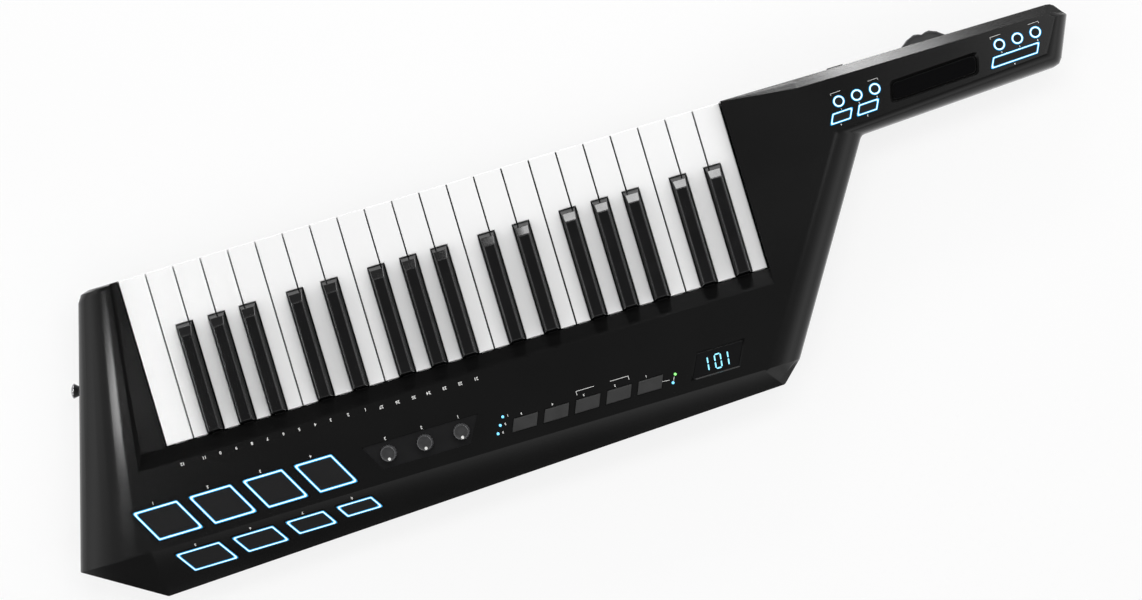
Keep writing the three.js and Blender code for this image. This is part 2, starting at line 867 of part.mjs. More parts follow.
// Pads: each has its plan outline, on the panel or, for the lower row, in the plane of the chamfer
function padRow({ start, width, taper, spacing, setback, depth, depthTaper, slant }) {
  const pads = [];
  let x = start;
  for (let index = 0; index < padCount; index++) {
    const padWidth = width - taper * index;
    const padDepth = depth - depthTaper * index;
    const padSlant = (slant * padDepth) / depth;
    pads.push(slantedOutline({ x, y: -setback, width: padWidth, depth: padDepth, slant: padSlant }));
    x += padWidth + spacing;
  }
  return pads;
}

const upperPads = padRow({
  start: -upperPadStart,
  width: upperPadWidth,
  taper: upperPadTaper,
  spacing: upperPadSpacing,
  setback: wellRearDepth + upperPadSetback,
  depth: upperPadDepth,
  depthTaper: 0,
  slant: upperPadSlant,
});
const lowerPads = padRow({
  start: -lowerPadStart,
  width: lowerPadWidth,
  taper: lowerPadTaper,
  spacing: lowerPadSpacing,
  setback: lowerPadSetback,
  depth: lowerPadDepth,
  depthTaper: lowerPadDepthTaper,
  slant: lowerPadSlant,
});

const padOutline = (pad, distance) => rounded(inset(pad, distance), padCornerRound, smallCornerSteps);

// A row of pads moulded on one sheet: heights are measured from the face that the pads stand out of
function padMat(pads, face, thickness) {
  const bottom = face - thickness - matSeat - matThickness;
  const sheetOutline = [
    pads[0][0].clone(),
    pads[pads.length - 1][1].clone(),
    pads[pads.length - 1][2].clone(),
    pads[0][3].clone(),
  ];
  const lowest = Math.min(...pads.map((pad) => pad[0].y));
  sheetOutline[0].y = lowest;
  const sheet = prism(inset(sheetOutline, -matMargin), bottom, bottom + matThickness);
  const raised = pads.map((pad) => {
    const top = face + padRise;
    const form = prism(padOutline(pad, 0), bottom + matThickness / 2, top);
    const groove = cut(
      prism(padOutline(pad, padFrameInset), top - padGroove, top + overrun),
      prism(padOutline(pad, padFrameInset + padFrameWidth), top - overrun, top + overrun * 2),
    );
    return cut(form, groove);
  });
  return join(sheet, ...raised);
}

const padWindows = (pads, face) =>
  join(...pads.map((pad) => prism(padOutline(pad, -padClearance), face - wall * 2, face + overrun)));

// The chamfer's own frame: its origin lies on the crease, and its plane leans down towards the player
const chamferFrame = new THREE.Matrix4()
  .makeTranslation(0, -creaseDepth, panelHeight)
  .multiply(new THREE.Matrix4().makeRotationX(chamferAngle));
const chamferWall = wall * (Math.cos(chamferAngle) + Math.sin(chamferAngle));
const inFrame = (made, frame) => made.transform(frame.elements);

// Knob tray, button windows and display recess
const panelPoint = (x, setback) => ({ x, y: -(wellRearDepth + setback) });
const trayOutline = slantedOutline({
  ...panelPoint(trayStart, traySetback),
  width: trayWidth,
  depth: trayRun,
  slant: traySlant,
  lowerWidth: trayWidth - 2 * traySlant,
});
const tray = prism(trayOutline, panelHeight - trayDepth, panelHeight + overrun);
const knobPlaces = Array.from({ length: knobCount }, (_, i) =>
  panelPoint(knobStart + i * knobPitch, knobSetback));
const knobHoles = join(...knobPlaces.map(({ x, y }) =>
  roundBar(x, y, knobShaftDiameter / 2 + knobHoleClearance, ceiling - overrun, panelHeight + overrun)));
const buttonOutlines = Array.from({ length: buttonCount }, (_, i) =>
  slantedOutline({
    ...panelPoint(buttonStart + i * buttonPitch, buttonSetback),
    width: buttonWidth,
    depth: buttonDepth,
    slant: -buttonSlant,
  }));
const buttonWindows = join(...buttonOutlines.map((outline) =>
  prism(inset(outline, -buttonClearance), ceiling - overrun, panelHeight + overrun)));
const displayOutline = slantedOutline({
  ...panelPoint(displayStart, displaySetback),
  width: displayWidth,
  depth: displayDepth,
  slant: -displaySlant,
});
const displayFloor = panelHeight - displayRecess;
const displayBevelCut = loft([
  ringAt(inset(displayOutline, displayBevel), displayFloor),
  ringAt(displayOutline, panelHeight),
  ringAt(displayOutline, panelHeight + overrun),
]);
const displayHole = prism(inset(displayOutline, displayBevel), ceiling - overrun, displayFloor + overrun);

// Neck controls
const neckFrame = new THREE.Matrix4()
  .makeTranslation(neckRootX, -neckFrameDepth, 0)
  .multiply(new THREE.Matrix4().makeRotationZ(neckTurn));

function keypad({ ringX, ringY, bars }) {
  const rings = Array.from({ length: ringsPerCluster }, (_, i) =>
    new THREE.Vector2(ringX + i * ringPitch, -ringY));
  const barOutlines = bars.map(({ x, y, width }) =>
    slantedOutline({ x, y: -y, width, depth: barDepth, slant: -barSlant }));
  return { rings, barOutlines };
}

const innerKeypad = keypad({
  ringX: -ringStart,
  ringY: ringRow,
  bars: [
    { x: -barStart, y: barRow, width: barWidth },
    { x: barPitch - barStart, y: barRow, width: barWidth },
  ],
});
const outerKeypad = keypad({
  ringX: outerRingStart,
  ringY: outerRingRow,
  bars: [{ x: longBarStart, y: longBarRow, width: longBarWidth }],
});

const barOutline = (outline, distance) => rounded(inset(outline, distance), barCornerRound, smallCornerSteps);

// Rubber keys on one sheet: a groove round each key's top takes its light ring or frame
function keypadSolid({ rings, barOutlines }) {
  const bottom = ceiling - matSeat - matThickness;
  const top = panelHeight + neckKeyRise;
  const ringRadius = ringDiameter / 2;
  const firstBar = barOutlines[0];
  const lastBar = barOutlines[barOutlines.length - 1];
  const upperY = rings[0].y + ringRadius;
  const sheetOutline = [
    firstBar[0].clone(),
    lastBar[1].clone(),
    new THREE.Vector2(Math.max(lastBar[2].x, rings[rings.length - 1].x + ringRadius), upperY),
    new THREE.Vector2(Math.min(firstBar[3].x, rings[0].x - ringRadius), upperY),
  ];
  const sheet = prism(inset(sheetOutline, -matMargin / 2), bottom, bottom + matThickness);
  const keys = rings.map(({ x, y }) =>
    join(
      roundBar(x, y, ringRadius, bottom + matThickness / 2, top - neckKeyGroove, ringSegments),
      roundBar(x, y, ringCoreDiameter / 2, bottom + matThickness / 2, top, ringSegments),
    ));
  const barKeys = barOutlines.map((outline) =>
    join(
      prism(barOutline(outline, 0), bottom + matThickness / 2, top - neckKeyGroove),
      prism(barOutline(outline, barFrameWidth), bottom + matThickness / 2, top),
    ));
  return join(sheet, ...keys, ...barKeys);
}

function keypadWindows({ rings, barOutlines }) {
  const radius = ringDiameter / 2 + neckKeyClearance;
  const from = ceiling - overrun;
  const to = panelHeight + overrun;
  return join(
    ...rings.map(({ x, y }) => roundBar(x, y, radius, from, to, ringSegments)),
    ...barOutlines.map((outline) => prism(barOutline(outline, -neckKeyClearance), from, to)),
  );
}

const stripOutline = slantedOutline({
  x: stripStart,
  y: -stripRow,
  width: stripWidth,
  depth: stripDepth,
  slant: -stripSlant,
});
const stripFloor = panelHeight - stripRecess;
const stripRing = (outline) => rounded(outline, stripCornerRound);
const stripPocket = loft([
  ringAt(stripRing(inset(stripOutline, stripRecessSlope)), stripFloor),
  ringAt(stripRing(stripOutline), panelHeight),
  ringAt(stripRing(stripOutline), panelHeight + overrun),
]);
const stripBoss = prism(inset(stripOutline, -wall / 2), stripFloor - wall, ceiling + wall / 2);

// Pitch wheel slot and sustain window in the neck's edge
const wheelX = neckRootX + wheelReach;
const wheelY = caseEdge - wheelSetback;
const wheelTop = wheelBottom + wheelThickness;
const wheelSlot = roundBar(
  wheelX,
  wheelY,
  wheelRadius + wheelGap,
  frontBottom - overrun,
  wheelTop + wheelGap,
  wheelSlotSegments,
);
const sustainX = neckRootX - sustainInset;
const neckShoulder = panelHeight - neckChamferDrop;
const sustainMiddle = (frontBottom + neckShoulder) / 2;
const sustainHeight = (neckShoulder - frontBottom) * sustainHeightShare;
const sustainBlock = (margin, y0, y1) =>
  block(
    sustainX - sustainWidth / 2 - margin,
    sustainX + sustainWidth / 2 + margin,
    y0,
    y1,
    sustainMiddle - sustainHeight / 2 - margin,
    sustainMiddle + sustainHeight / 2 + margin,
  );
const sustainWindow = sustainBlock(sustainClearance, -wall * 2, caseEdge + overrun);

// Posts under the panel that the circuit board is screwed to
const boardLeft = -boardMargin;
const boardRight = keySpan - boardEndMargin;
const boardFront = wellRearDepth + boardSetback;
const boardRear = boardFront + boardDepth;
const boardPostShares = [0.365, 0.52, 0.86];
const boardPosts = join(
  ...boardPostShares.map((share) =>
    roundBar(
      boardLeft + (boardRight - boardLeft) * share,
      -(boardRear - boardPostDiameter),
      boardPostDiameter / 2,
      boardTop + matGap,
      ceiling + wall / 2,
      postSegments,
    )),
);

let frontCover = cut(outerForm, cavity);
frontCover = join(
  frontCover,
  wellLiner,
  skirts.intersect(outerForm),
  inFrame(stripBoss, neckFrame),
  boardPosts,
);
frontCover = cut(
  frontCover,
  wellVoid,
  keyVoid,
  padWindows(upperPads, panelHeight),
  inFrame(padWindows(lowerPads, 0), chamferFrame),
  tray,
  knobHoles,
  buttonWindows,
  displayBevelCut,
  displayHole,
  inFrame(keypadWindows(innerKeypad), neckFrame),
  inFrame(keypadWindows(outerKeypad), neckFrame),
  inFrame(stripPocket, neckFrame),
  wheelSlot,
  sustainWindow,
);
addPiece("front_cover", frontCover, satinBlack);

// Pads, keypads and touch strip
addPiece("upper_pad_mat", padMat(upperPads, panelHeight, wall), siliconeBlack);
addPiece("lower_pad_mat", inFrame(padMat(lowerPads, 0, chamferWall), chamferFrame), siliconeBlack);
addPiece("inner_neck_keypad", inFrame(keypadSolid(innerKeypad), neckFrame), siliconeBlack);
addPiece("outer_neck_keypad", inFrame(keypadSolid(outerKeypad), neckFrame), siliconeBlack);
addPiece(
  "touch_strip",
  inFrame(
    prism(
      stripRing(inset(stripOutline, stripRecessSlope + stripGap)),
      stripFloor + pinSeatGap,
      stripFloor + stripThickness,
    ),
    neckFrame,
  ),
  smokedClear,
);

// Knobs: a fluted, slightly conical cap on a shaft that reaches the circuit board
function knob({ x, y }) {
  const floor = panelHeight - trayDepth + knobGap;
  const top = floor + knobHeight;
  const ring = (radius, z) =>
    Array.from({ length: knobFlutes * pointsPerFlute }, (_, i) => {
      const turn = (i * fullTurn) / (knobFlutes * pointsPerFlute);
      const reach = radius - (i % pointsPerFlute ? 0 : knobFluteDepth);
      return new THREE.Vector3(x + reach * Math.cos(turn), y + reach * Math.sin(turn), z);
    });
  const cap = loft([
    ring(knobDiameter / 2, floor),
    ring(knobTopDiameter / 2, top - keyEdgeBreak),
    ring(knobTopDiameter / 2 - keyEdgeBreak, top),
  ]);
  return join(cap, roundBar(x, y, knobShaftDiameter / 2, boardTop + matGap, floor + overrun, postSegments));
}
knobPlaces.forEach((place, index) => {
  const pivot = new THREE.Vector3(place.x, place.y, panelHeight);
  addPiece(`knob_${index + 1}`, knob(place), knobGrey, pivot);
});

// Panel buttons: a cap through the window, a flange that stops under the panel, and a stem down to its switch
buttonOutlines.forEach((outline, index) => {
  const middle = outline[0].clone().add(outline[2]).multiplyScalar(0.5);
  const top = panelHeight + buttonRise;
  const flangeTop = ceiling - buttonStopGap;
  const cap = loft([
    ringAt(outline, flangeTop - buttonFlangeThickness / 2),
    ringAt(outline, top - keyEdgeBreak),
    ringAt(inset(outline, keyEdgeBreak), top),
  ]);
  const flange = prism(inset(outline, -buttonFlange), flangeTop - buttonFlangeThickness, flangeTop);
  const stem = block(
    middle.x - buttonStem / 2,
    middle.x + buttonStem / 2,
    middle.y - buttonStem / 2,
    middle.y + buttonStem / 2,
    boardTop + buttonTravel + matGap,
    flangeTop - buttonFlangeThickness / 2,
  );
  const pivot = new THREE.Vector3(middle.x, middle.y, panelHeight);
  addPiece(`panel_button_${index + 1}`, join(cap, flange, stem), buttonGrey, pivot);
});

// Display window: a smoked lens that fills the bevelled recess from below
const lensOutline = inset(displayOutline, displayBevel + displayWindowGap);
const lensRim = ceiling - displayWindowGap;
addPiece(
  "display_window",
  join(
    prism(lensOutline, lensRim - displayWindowThickness / 2, displayFloor - displayWindowGap),
    prism(inset(displayOutline, -buttonFlange), lensRim - displayWindowThickness, lensRim),
  ),
  smokedClear,
);

// Circuit board that the panel's controls stand on
addPiece(
  "main_board",
  block(boardLeft, boardRight, -boardRear, -boardFront, boardTop - boardThickness, boardTop),
  circuitGreen,
);

// Pitch wheel: a knurled disc with a thumb notch, a sunk face inside its rim, and a hub on its spindle
const notchHalf = wheelNotchWidth / 2 / wheelRadius;
const wheelRing = (radius, z, ribs) =>
  Array.from({ length: wheelRibs * 2 }, (_, i) => {
    const turn = (i * fullTurn) / (wheelRibs * 2);
    const fromNotch = Math.abs(turn - Math.PI / 2);
    const fall = Math.cos(((Math.min(fromNotch / notchHalf, 1)) * Math.PI) / 2);
    const notch = wheelNotchDepth * fall;
    const reach = radius - notch - (i % 2 ? ribs : 0);
    return new THREE.Vector3(wheelX + reach * Math.cos(turn), wheelY + reach * Math.sin(turn), z);
  });
const wheelDisc = loft([
  wheelRing(wheelRadius - keyEdgeBreak, wheelBottom, 0),
  wheelRing(wheelRadius, wheelBottom + keyEdgeBreak, wheelRibDepth),
  wheelRing(wheelRadius, wheelTop - keyEdgeBreak, wheelRibDepth),
  wheelRing(wheelRadius - keyEdgeBreak, wheelTop, 0),
]);
const wheelFace = loft([
  wheelRing(wheelRadius - wheelRimWidth, wheelTop - wheelRimRelief, 0),
  wheelRing(wheelRadius - wheelRimWidth, wheelTop + overrun, 0),
]);
const wheelHub = roundBar(wheelX, wheelY, wheelHubDiameter / 2, wheelBottom - wheelHubDrop, wheelTop);
const wheelBore = roundBar(
  wheelX,
  wheelY,
  wheelPinDiameter / 2 + wheelPinClearance,
  wheelBottom - overrun,
  wheelTop + overrun,
);
addPiece(
  "pitch_wheel",
  cut(join(cut(wheelDisc, wheelFace), wheelHub), wheelBore),
  wheelGrey,
  new THREE.Vector3(wheelX, wheelY, wheelBottom),
);

// Sustain button in the neck's edge
addPiece(
  "sustain_button",
  join(
    sustainBlock(0, -wall - sustainFlange, caseEdge + sustainProud),
    sustainBlock(
      sustainFlange,
      caseEdge - wall - sustainClearance - sustainFlange,
      caseEdge - wall - sustainClearance,
    ),
    block(
      sustainX - sustainBody / 2,
      sustainX + sustainBody / 2,
      -wall - sustainBody,
      -wall,
      sustainMiddle - sustainBody / 2,
      sustainMiddle + sustainBody / 2,
    ),
  ),
  buttonGrey,
  new THREE.Vector3(sustainX, caseEdge, sustainMiddle),
);

// Rear cover: the body's tray and the neck's shallower one, with posts inside and the battery door's opening
const blockTopX = neckRootX + (neckRootDepth + caseEdge) * (blockSlope.x / blockSlope.y);
const bodyPlan = [
  outerPlan[0],
  outerPlan[1],
  outerPlan[2],
  planePoint(blockTopX, -caseEdge),
  outerPlan[outerPlan.length - 2],
  outerPlan[outerPlan.length - 1],
];
const bodyRounds = [heelRound, heelRound, heelRound, cornerRound, frontCornerRound, cornerRound];
const neckPlan = [
  planePoint(heelCornerX, neckRootDepth),
  ...outerPlan.slice(3, 7),
  planePoint(heelCornerX, -caseEdge),
];
const neckRounds = [cornerRound, rootRound, tipRound, cornerRound, tipRound, cornerRound];
const rearOuter = join(
  lowerForm(bodyPlan, bodyRounds, 0, seamHeight, backRoll, rollSteps / 2),
  lowerForm(neckPlan, neckRounds, neckBackHeight, seamHeight, neckBackRoll, rollSteps / 2),
);
const hollowTop = seamHeight + overrun;
const bodyHollowPlan = inset(bodyPlan, wall);
const neckHollowPlan = inset(neckPlan, wall);
const neckHollowBase = neckBackHeight + wall;
const rearCavity = join(
  lowerForm(bodyHollowPlan, bodyRounds, wall, hollowTop, backRoll - wall, cavitySteps),
  lowerForm(neckHollowPlan, neckRounds, neckHollowBase, hollowTop, neckBackRoll - wall, cavitySteps),
);
const doorX = doorStart;
const doorY = -doorSetback;
const doorOutline = (margin) => [
  new THREE.Vector2(doorX - margin, doorY - doorDepth - margin),
  new THREE.Vector2(doorX + doorWidth + margin, doorY - doorDepth - margin),
  new THREE.Vector2(doorX + doorWidth + margin, doorY + margin),
  new THREE.Vector2(doorX - margin, doorY + margin),
];
const doorTop = doorSunk + doorThickness;
const doorFrame = prism(doorOutline(doorLedge), wall / 2, doorTop + doorPad);
const doorRecess = prism(doorOutline(doorClearance), -overrun, doorTop + doorClearance);
const doorHole = prism(doorOutline(-doorLedge), -overrun, doorTop + doorPad + overrun);
const chassisPostXs = Array.from({ length: chassisPostCount }, (_, i) => {
  const run = chassisRight - chassisLeft - 2 * chassisPostInset;
  return chassisLeft + chassisPostInset + (i * run) / (chassisPostCount - 1);
});
const chassisPosts = join(
  ...chassisPostXs.flatMap((x) =>
    [-chassisFrontSetback - chassisPostSetback, -chassisRear + chassisPostSetback].map((y) =>
      roundBar(x, y, chassisPostDiameter / 2, wall / 2, chassisBase - matGap, postSegments))),
);
const casePostPlaces = [
  [-cheekPostReach, -(wellRearDepth + casePostSetback)],
  [openingRight + heelPostReach, -heelPostDepth],
  [openingRight + blockPostReach, -blockPostDepth],
];
const casePosts = join(
  ...casePostPlaces.map(([x, y]) =>
    roundBar(x, y, casePostDiameter / 2, wall / 2, ceiling - casePostGap, postSegments)),
);
const wheelPostFoot = neckBackHeight + wall / 2;
const wheelSeat = wheelBottom - wheelHubDrop - wheelHubClearance;
const wheelPost = join(
  roundBar(wheelX, wheelY, wheelPostDiameter / 2, wheelPostFoot, wheelSeat),
  roundBar(wheelX, wheelY, wheelPinDiameter / 2, wheelPostFoot, wheelTop + wheelPinProud),
);
const keyFrontGap = block(openingLeft, openingRight, -wall - overrun, overrun, frontWallTop, hollowTop);

// Strap pins: a turned button with a screw shank that sits in a boss of the rear cover
const edgeStart = outerPlan[outerPlan.length - 2];
const edgeEnd = outerPlan[outerPlan.length - 1];
const edgeShare = (edgeStart.y + endPinDepth) / (edgeStart.y - edgeEnd.y);
const endPinPlace = edgeStart.clone().lerp(edgeEnd, edgeShare);
const edgeRun = edgeEnd.clone().sub(edgeStart).normalize();
const endPinFrame = new THREE.Matrix4()
  .makeBasis(
    new THREE.Vector3(edgeRun.x, edgeRun.y, 0),
    new THREE.Vector3(0, 0, 1),
    new THREE.Vector3(edgeRun.y, -edgeRun.x, 0),
  )
  .setPosition(endPinPlace.x, endPinPlace.y, endPinHeight);
const neckPinFrame = new THREE.Matrix4()
  .makeBasis(new THREE.Vector3(1, 0, 0), new THREE.Vector3(0, -1, 0), new THREE.Vector3(0, 0, -1))
  .setPosition(neckRootX + neckPinReach, -neckPinDepth, neckBackHeight);

function strapPin() {
  const profile = [
    [0, -pinShankLength],
    [pinShankDiameter / 2, -pinShankLength],
    [pinShankDiameter / 2, pinSeatGap],
    [pinBaseDiameter / 2, pinSeatGap],
    [pinBaseDiameter / 2, pinBaseThickness],
    [pinNeckDiameter / 2, pinBaseThickness * 2],
    [pinNeckDiameter / 2, pinProjection - pinHeadThickness - pinUndercut],
    [pinHeadDiameter / 2, pinProjection - pinHeadThickness],
    [pinHeadDiameter / 2, pinProjection - pinBaseThickness],
    [pinHeadDiameter / 2 - pinBaseThickness, pinProjection],
    [0, pinProjection],
  ].map(([radius, height]) => new THREE.Vector2(radius, height));
  return solid(new THREE.LatheGeometry(profile, roundSegments).rotateX(Math.PI / 2));
}

const pinBoss = roundBar(0, 0, pinBossDiameter / 2, -pinShankLength - wall / 2, -wall / 2);
const pinBore = roundBar(0, 0, pinShankDiameter / 2 + hingeClearance, -pinShankLength - wall, overrun);
const seatSolids = (tool) => [endPinFrame, neckPinFrame].map((frame) => inFrame(tool, frame));

let rearCover = join(
  cut(rearOuter, rearCavity),
  doorFrame,
  chassisPosts,
  casePosts,
  wheelPost,
  ...seatSolids(pinBoss),
);
rearCover = cut(rearCover, doorRecess, doorHole, keyFrontGap, ...seatSolids(pinBore));
addPiece("rear_cover", rearCover, satinBlack);
addPiece("end_strap_pin", inFrame(strapPin(), endPinFrame), nickel);
addPiece("neck_strap_pin", inFrame(strapPin(), neckPinFrame), nickel);

// Battery door with a finger recess
addPiece(
  "battery_door",
  cut(
    prism(doorOutline(0), doorSunk, doorTop),
    block(
      doorX + doorWidth / 2 - doorFingerWidth / 2,
      doorX + doorWidth / 2 + doorFingerWidth / 2,
      doorY - doorFingerDepth,
      doorY + overrun,
      doorSunk - overrun,
      doorSunk + doorFingerSunk,
    ),
  ),
  satinBlack,
);

// The part's own origin: the middle of its box, on the table
const box = new THREE.Box3().setFromObject(group);
const middle = box.getCenter(new THREE.Vector3());
group.position.set(-middle.x, -middle.y, -box.min.z);

export default group;
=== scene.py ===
"""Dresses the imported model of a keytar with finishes, lights, numbers and screws, in a plain studio."""

import json
import logging
from collections.abc import Callable, Iterable, Sequence
from dataclasses import dataclass, field
from enum import Enum
from math import atan2, cos, pi, radians, sin, tan

import bmesh
import bpy
from bmesh.types import BMesh, BMFace, BMLoop
from bpy.types import Material, Mesh, Node, NodeSocket, NodeTree, Object
from mathutils import Matrix, Vector


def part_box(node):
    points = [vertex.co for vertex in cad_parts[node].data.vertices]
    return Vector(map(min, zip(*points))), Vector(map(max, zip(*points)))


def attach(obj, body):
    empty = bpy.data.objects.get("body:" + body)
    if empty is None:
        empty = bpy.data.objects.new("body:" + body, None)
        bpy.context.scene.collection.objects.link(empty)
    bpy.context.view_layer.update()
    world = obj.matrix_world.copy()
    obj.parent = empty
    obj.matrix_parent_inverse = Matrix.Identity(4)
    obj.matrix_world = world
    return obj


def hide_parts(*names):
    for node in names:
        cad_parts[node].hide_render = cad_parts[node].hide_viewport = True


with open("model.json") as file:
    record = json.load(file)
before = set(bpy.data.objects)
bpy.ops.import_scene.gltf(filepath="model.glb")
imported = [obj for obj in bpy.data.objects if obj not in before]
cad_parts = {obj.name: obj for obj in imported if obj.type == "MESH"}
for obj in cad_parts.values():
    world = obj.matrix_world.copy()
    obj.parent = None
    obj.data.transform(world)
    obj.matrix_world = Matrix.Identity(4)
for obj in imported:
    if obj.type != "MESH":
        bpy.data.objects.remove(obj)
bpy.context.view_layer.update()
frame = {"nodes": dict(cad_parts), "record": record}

Points = tuple[tuple[float, float], ...]
Triple = tuple[float, float, float]
Colour = tuple[float, float, float, float]
Outline = Sequence[Vector]

MM = 0.001
COVER = "front_cover"
HALF_TURN = pi
FULL_TURN = 2 * pi
SHARP_EDGE = radians(32)
FLAT_EDGE = radians(0.5)
CREASE_EDGE = radians(10)
WIDE_REGION = 2500 * MM**2
WELD_REACH = 0.002 * MM
ARC_SHARES = [step / 5 for step in range(6)]
NOISE_LOW, NOISE_HIGH = 0.3, 0.7
DRIFT_DETAIL, GRAIN_DETAIL, GLOW_DETAIL = 3.0, 2.0, 1.0
log = logging.getLogger("keytar")


def linear(hex_colour: str) -> Colour:
    """Turns an sRGB hex colour into the linear colour that shaders take, by the curve of the sRGB standard.

    Args:
        hex_colour: Six hex digits after a hash sign.

    Returns:
        Red, green, blue and an alpha of one.
    """
    values = [int(hex_colour[i : i + 2], 16) / 255 for i in (1, 3, 5)]
    bent = [v / 12.92 if v <= 0.04045 else ((v + 0.055) / 1.055) ** 2.4 for v in values]
    return (bent[0], bent[1], bent[2], 1.0)


def add_node(tree: NodeTree, kind: str, inputs: dict | None = None, **settings) -> Node:
    """Adds one shader node with its settings, values and links.

    Args:
        tree: The node tree that takes the node.
        kind: The node's type name in Blender.
        inputs: Input name or number to a value, or to the output socket that feeds it.
        **settings: The node's own properties.

    Returns:
        The new node.
    """
    node = tree.nodes.new(kind)
    for name, value in settings.items():
        setattr(node, name, value)
    for socket, value in (inputs or {}).items():
        if isinstance(value, NodeSocket):
            tree.links.new(value, node.inputs[socket])
        else:
            node.inputs[socket].default_value = value
    return node


@dataclass(frozen=True)
class Finish:
    """A material and how its surface was made: colour drift, roughness drift and a fine grain.

    Turned metal has grooves round its axis as well, and a light guide or lens a slightly uneven glow.
    """

    name: str
    colour: str
    drift_colour: str
    drift_mm: float = 60.0
    roughness: float = 0.4
    roughness_drift: float = 0.05
    grain_mm: float = 0.9
    grain_height_mm: float = 0.01
    metallic: float = 0.0
    ior: float = 1.5
    specular: float = 0.5
    coat: float = 0.0
    coat_roughness: float = 0.08
    groove_mm: float = 0.0
    groove_wander: float = 0.4
    glow: str = "#000000"
    glow_drift: str = "#000000"
    strength: float = 0.0

    def material(self) -> Material:
        """Makes the Blender material once, and shares it from then on.

        Returns:
            The material.
        """
        made = bpy.data.materials.get(self.name)
        if not made:
            made = bpy.data.materials.new(self.name)
            made.use_nodes = True
            made.node_tree.nodes.clear()
            made.diffuse_color = linear(self.colour)
            shader = self.shader(made.node_tree)
            add_node(made.node_tree, "ShaderNodeOutputMaterial", {"Surface": shader.outputs["BSDF"]})
        return made

    def shader(self, tree: NodeTree) -> Node:
        """Builds the surface.

        Args:
            tree: The material's node tree.

        Returns:
            The principled shader.
        """
        place = add_node(tree, "ShaderNodeTexCoord").outputs["Object"]
        clouds = [(self.drift_mm, DRIFT_DETAIL), (self.grain_mm, GRAIN_DETAIL)]
        if self.strength:
            clouds.append((self.drift_mm, GLOW_DETAIL))
        settings = [{"Vector": place, "Scale": 1 / (size * MM), "Detail": detail} for size, detail in clouds]
        patterns = [add_node(tree, "ShaderNodeTexNoise", inputs).outputs["Fac"] for inputs in settings]
        drift, height = patterns[:2]
        colours = {"Factor": drift, "A": linear(self.colour), "B": linear(self.drift_colour)}
        low, high = self.roughness - self.roughness_drift, self.roughness + self.roughness_drift
        span = {"From Min": NOISE_LOW, "From Max": NOISE_HIGH, "To Min": low, "To Max": high}
        if self.groove_mm:
            scale = 1 / (self.groove_mm * MM * FULL_TURN)
            waves = {"Vector": place, "Scale": scale, "Distortion": self.groove_wander}
            grooves = add_node(tree, "ShaderNodeTexWave", waves, wave_type="BANDS", bands_direction="Z")
            both = {0: grooves.outputs["Fac"], 1: height}
            height = add_node(tree, "ShaderNodeMath", both, operation="ADD").outputs[0]
        relief = {"Height": height, "Strength": 1.0, "Distance": self.grain_height_mm * MM}
        surface = {
            "Base Color": add_node(tree, "ShaderNodeMix", colours, data_type="RGBA").outputs["Result"],
            "Roughness": add_node(tree, "ShaderNodeMapRange", {"Value": drift, **span}).outputs["Result"],
            "Normal": add_node(tree, "ShaderNodeBump", relief).outputs["Normal"],
            "Metallic": self.metallic,
            "IOR": self.ior,
            "Specular IOR Level": self.specular,
            "Coat Weight": self.coat,
            "Coat Roughness": self.coat_roughness,
        }
        if self.strength:
            glows = {"Factor": patterns[2], "A": linear(self.glow), "B": linear(self.glow_drift)}
            tint = add_node(tree, "ShaderNodeMix", glows, data_type="RGBA")
            surface |= {"Emission Color": tint.outputs["Result"], "Emission Strength": self.strength}
        return add_node(tree, "ShaderNodeBsdfPrincipled", surface)


# After its two colours, a finish gives the size of the drift, the roughness and how far it drifts, and the
# size and height of the grain.

# Moulded ABS with a spark-eroded satin texture: black, a soft sheen, and highlights with blurred edges.
# The grain is drawn about three times as coarse as the real one, so that it shows.
SATIN_ABS = Finish(
    "black_satin_abs_moulded", "#0b0b0b", "#101010", 90.0, 0.18, 0.02, 0.8, 0.003, specular=0.32
)
# The same plastic on the floor of the knobs' tray, eroded coarser, so that it looks a shade lighter
TRAY_ABS = Finish(
    "black_coarse_abs_moulded", "#0e0e0f", "#141415", 20.0, 0.42, 0.04, 0.9, 0.02, specular=0.22
)
# The same plastic on the back half, which rubs on clothes: a little glossier in patches
BACK_ABS = Finish("black_satin_abs_back", "#0d0d0e", "#141416", 45.0, 0.36, 0.06, 0.9, 0.012, specular=0.36)
# Polished ABS of the white keys: nearly white, sharp reflections, faint finger marks
WHITE_KEY_ABS = Finish("white_abs_polished", "#fbfbfb", "#f6f6f6", 35.0, 0.2, 0.06, 1.6, 0.004, coat=0.25)
# Polished ABS of the black keys: deep black with bright, narrow highlights
BLACK_KEY_ABS = Finish(
    "black_abs_polished", "#050506", "#0a0a0b", 18.0, 0.16, 0.04, 1.0, 0.006,
    specular=0.35, coat=0.4, coat_roughness=0.06,
)
# The same keys' sides, left as moulded: black and dull, where the top is polished
BLACK_FLANK_ABS = Finish(
    "black_abs_moulded_dull", "#040405", "#070708", 18.0, 0.5, 0.05, 0.8, 0.006, specular=0.08
)
# Moulded silicone of the pads: dull, with a soft fine grain
SILICONE = Finish(
    "black_silicone_moulded", "#131314", "#19191a", 22.0, 0.62, 0.05, 0.7, 0.02, ior=1.41, specular=0.25
)
# Satin ABS of the push buttons: dark grey, even
BUTTON_ABS = Finish("grey_satin_abs_moulded", "#2d2d2d", "#373737", 9.0, 0.45, 0.06, 0.6, 0.014, specular=0.3)
# ABS of the knobs with a rubbery paint: dark grey and dull
KNOB_PAINT = Finish("grey_soft_touch_paint", "#262627", "#303031", 5.0, 0.42, 0.08, 0.5, 0.02)
# The same paint on the grip's ribs, painted lighter and shinier: a painted highlight for the light that the
# knob's rim catches
GRIP_PAINT_HIGHLIGHT = Finish(
    "grey_soft_touch_paint_painted_highlight", "#4a4a4c", "#5c5c5e", 4.0, 0.28, 0.06, 0.5, 0.02, specular=0.9
)
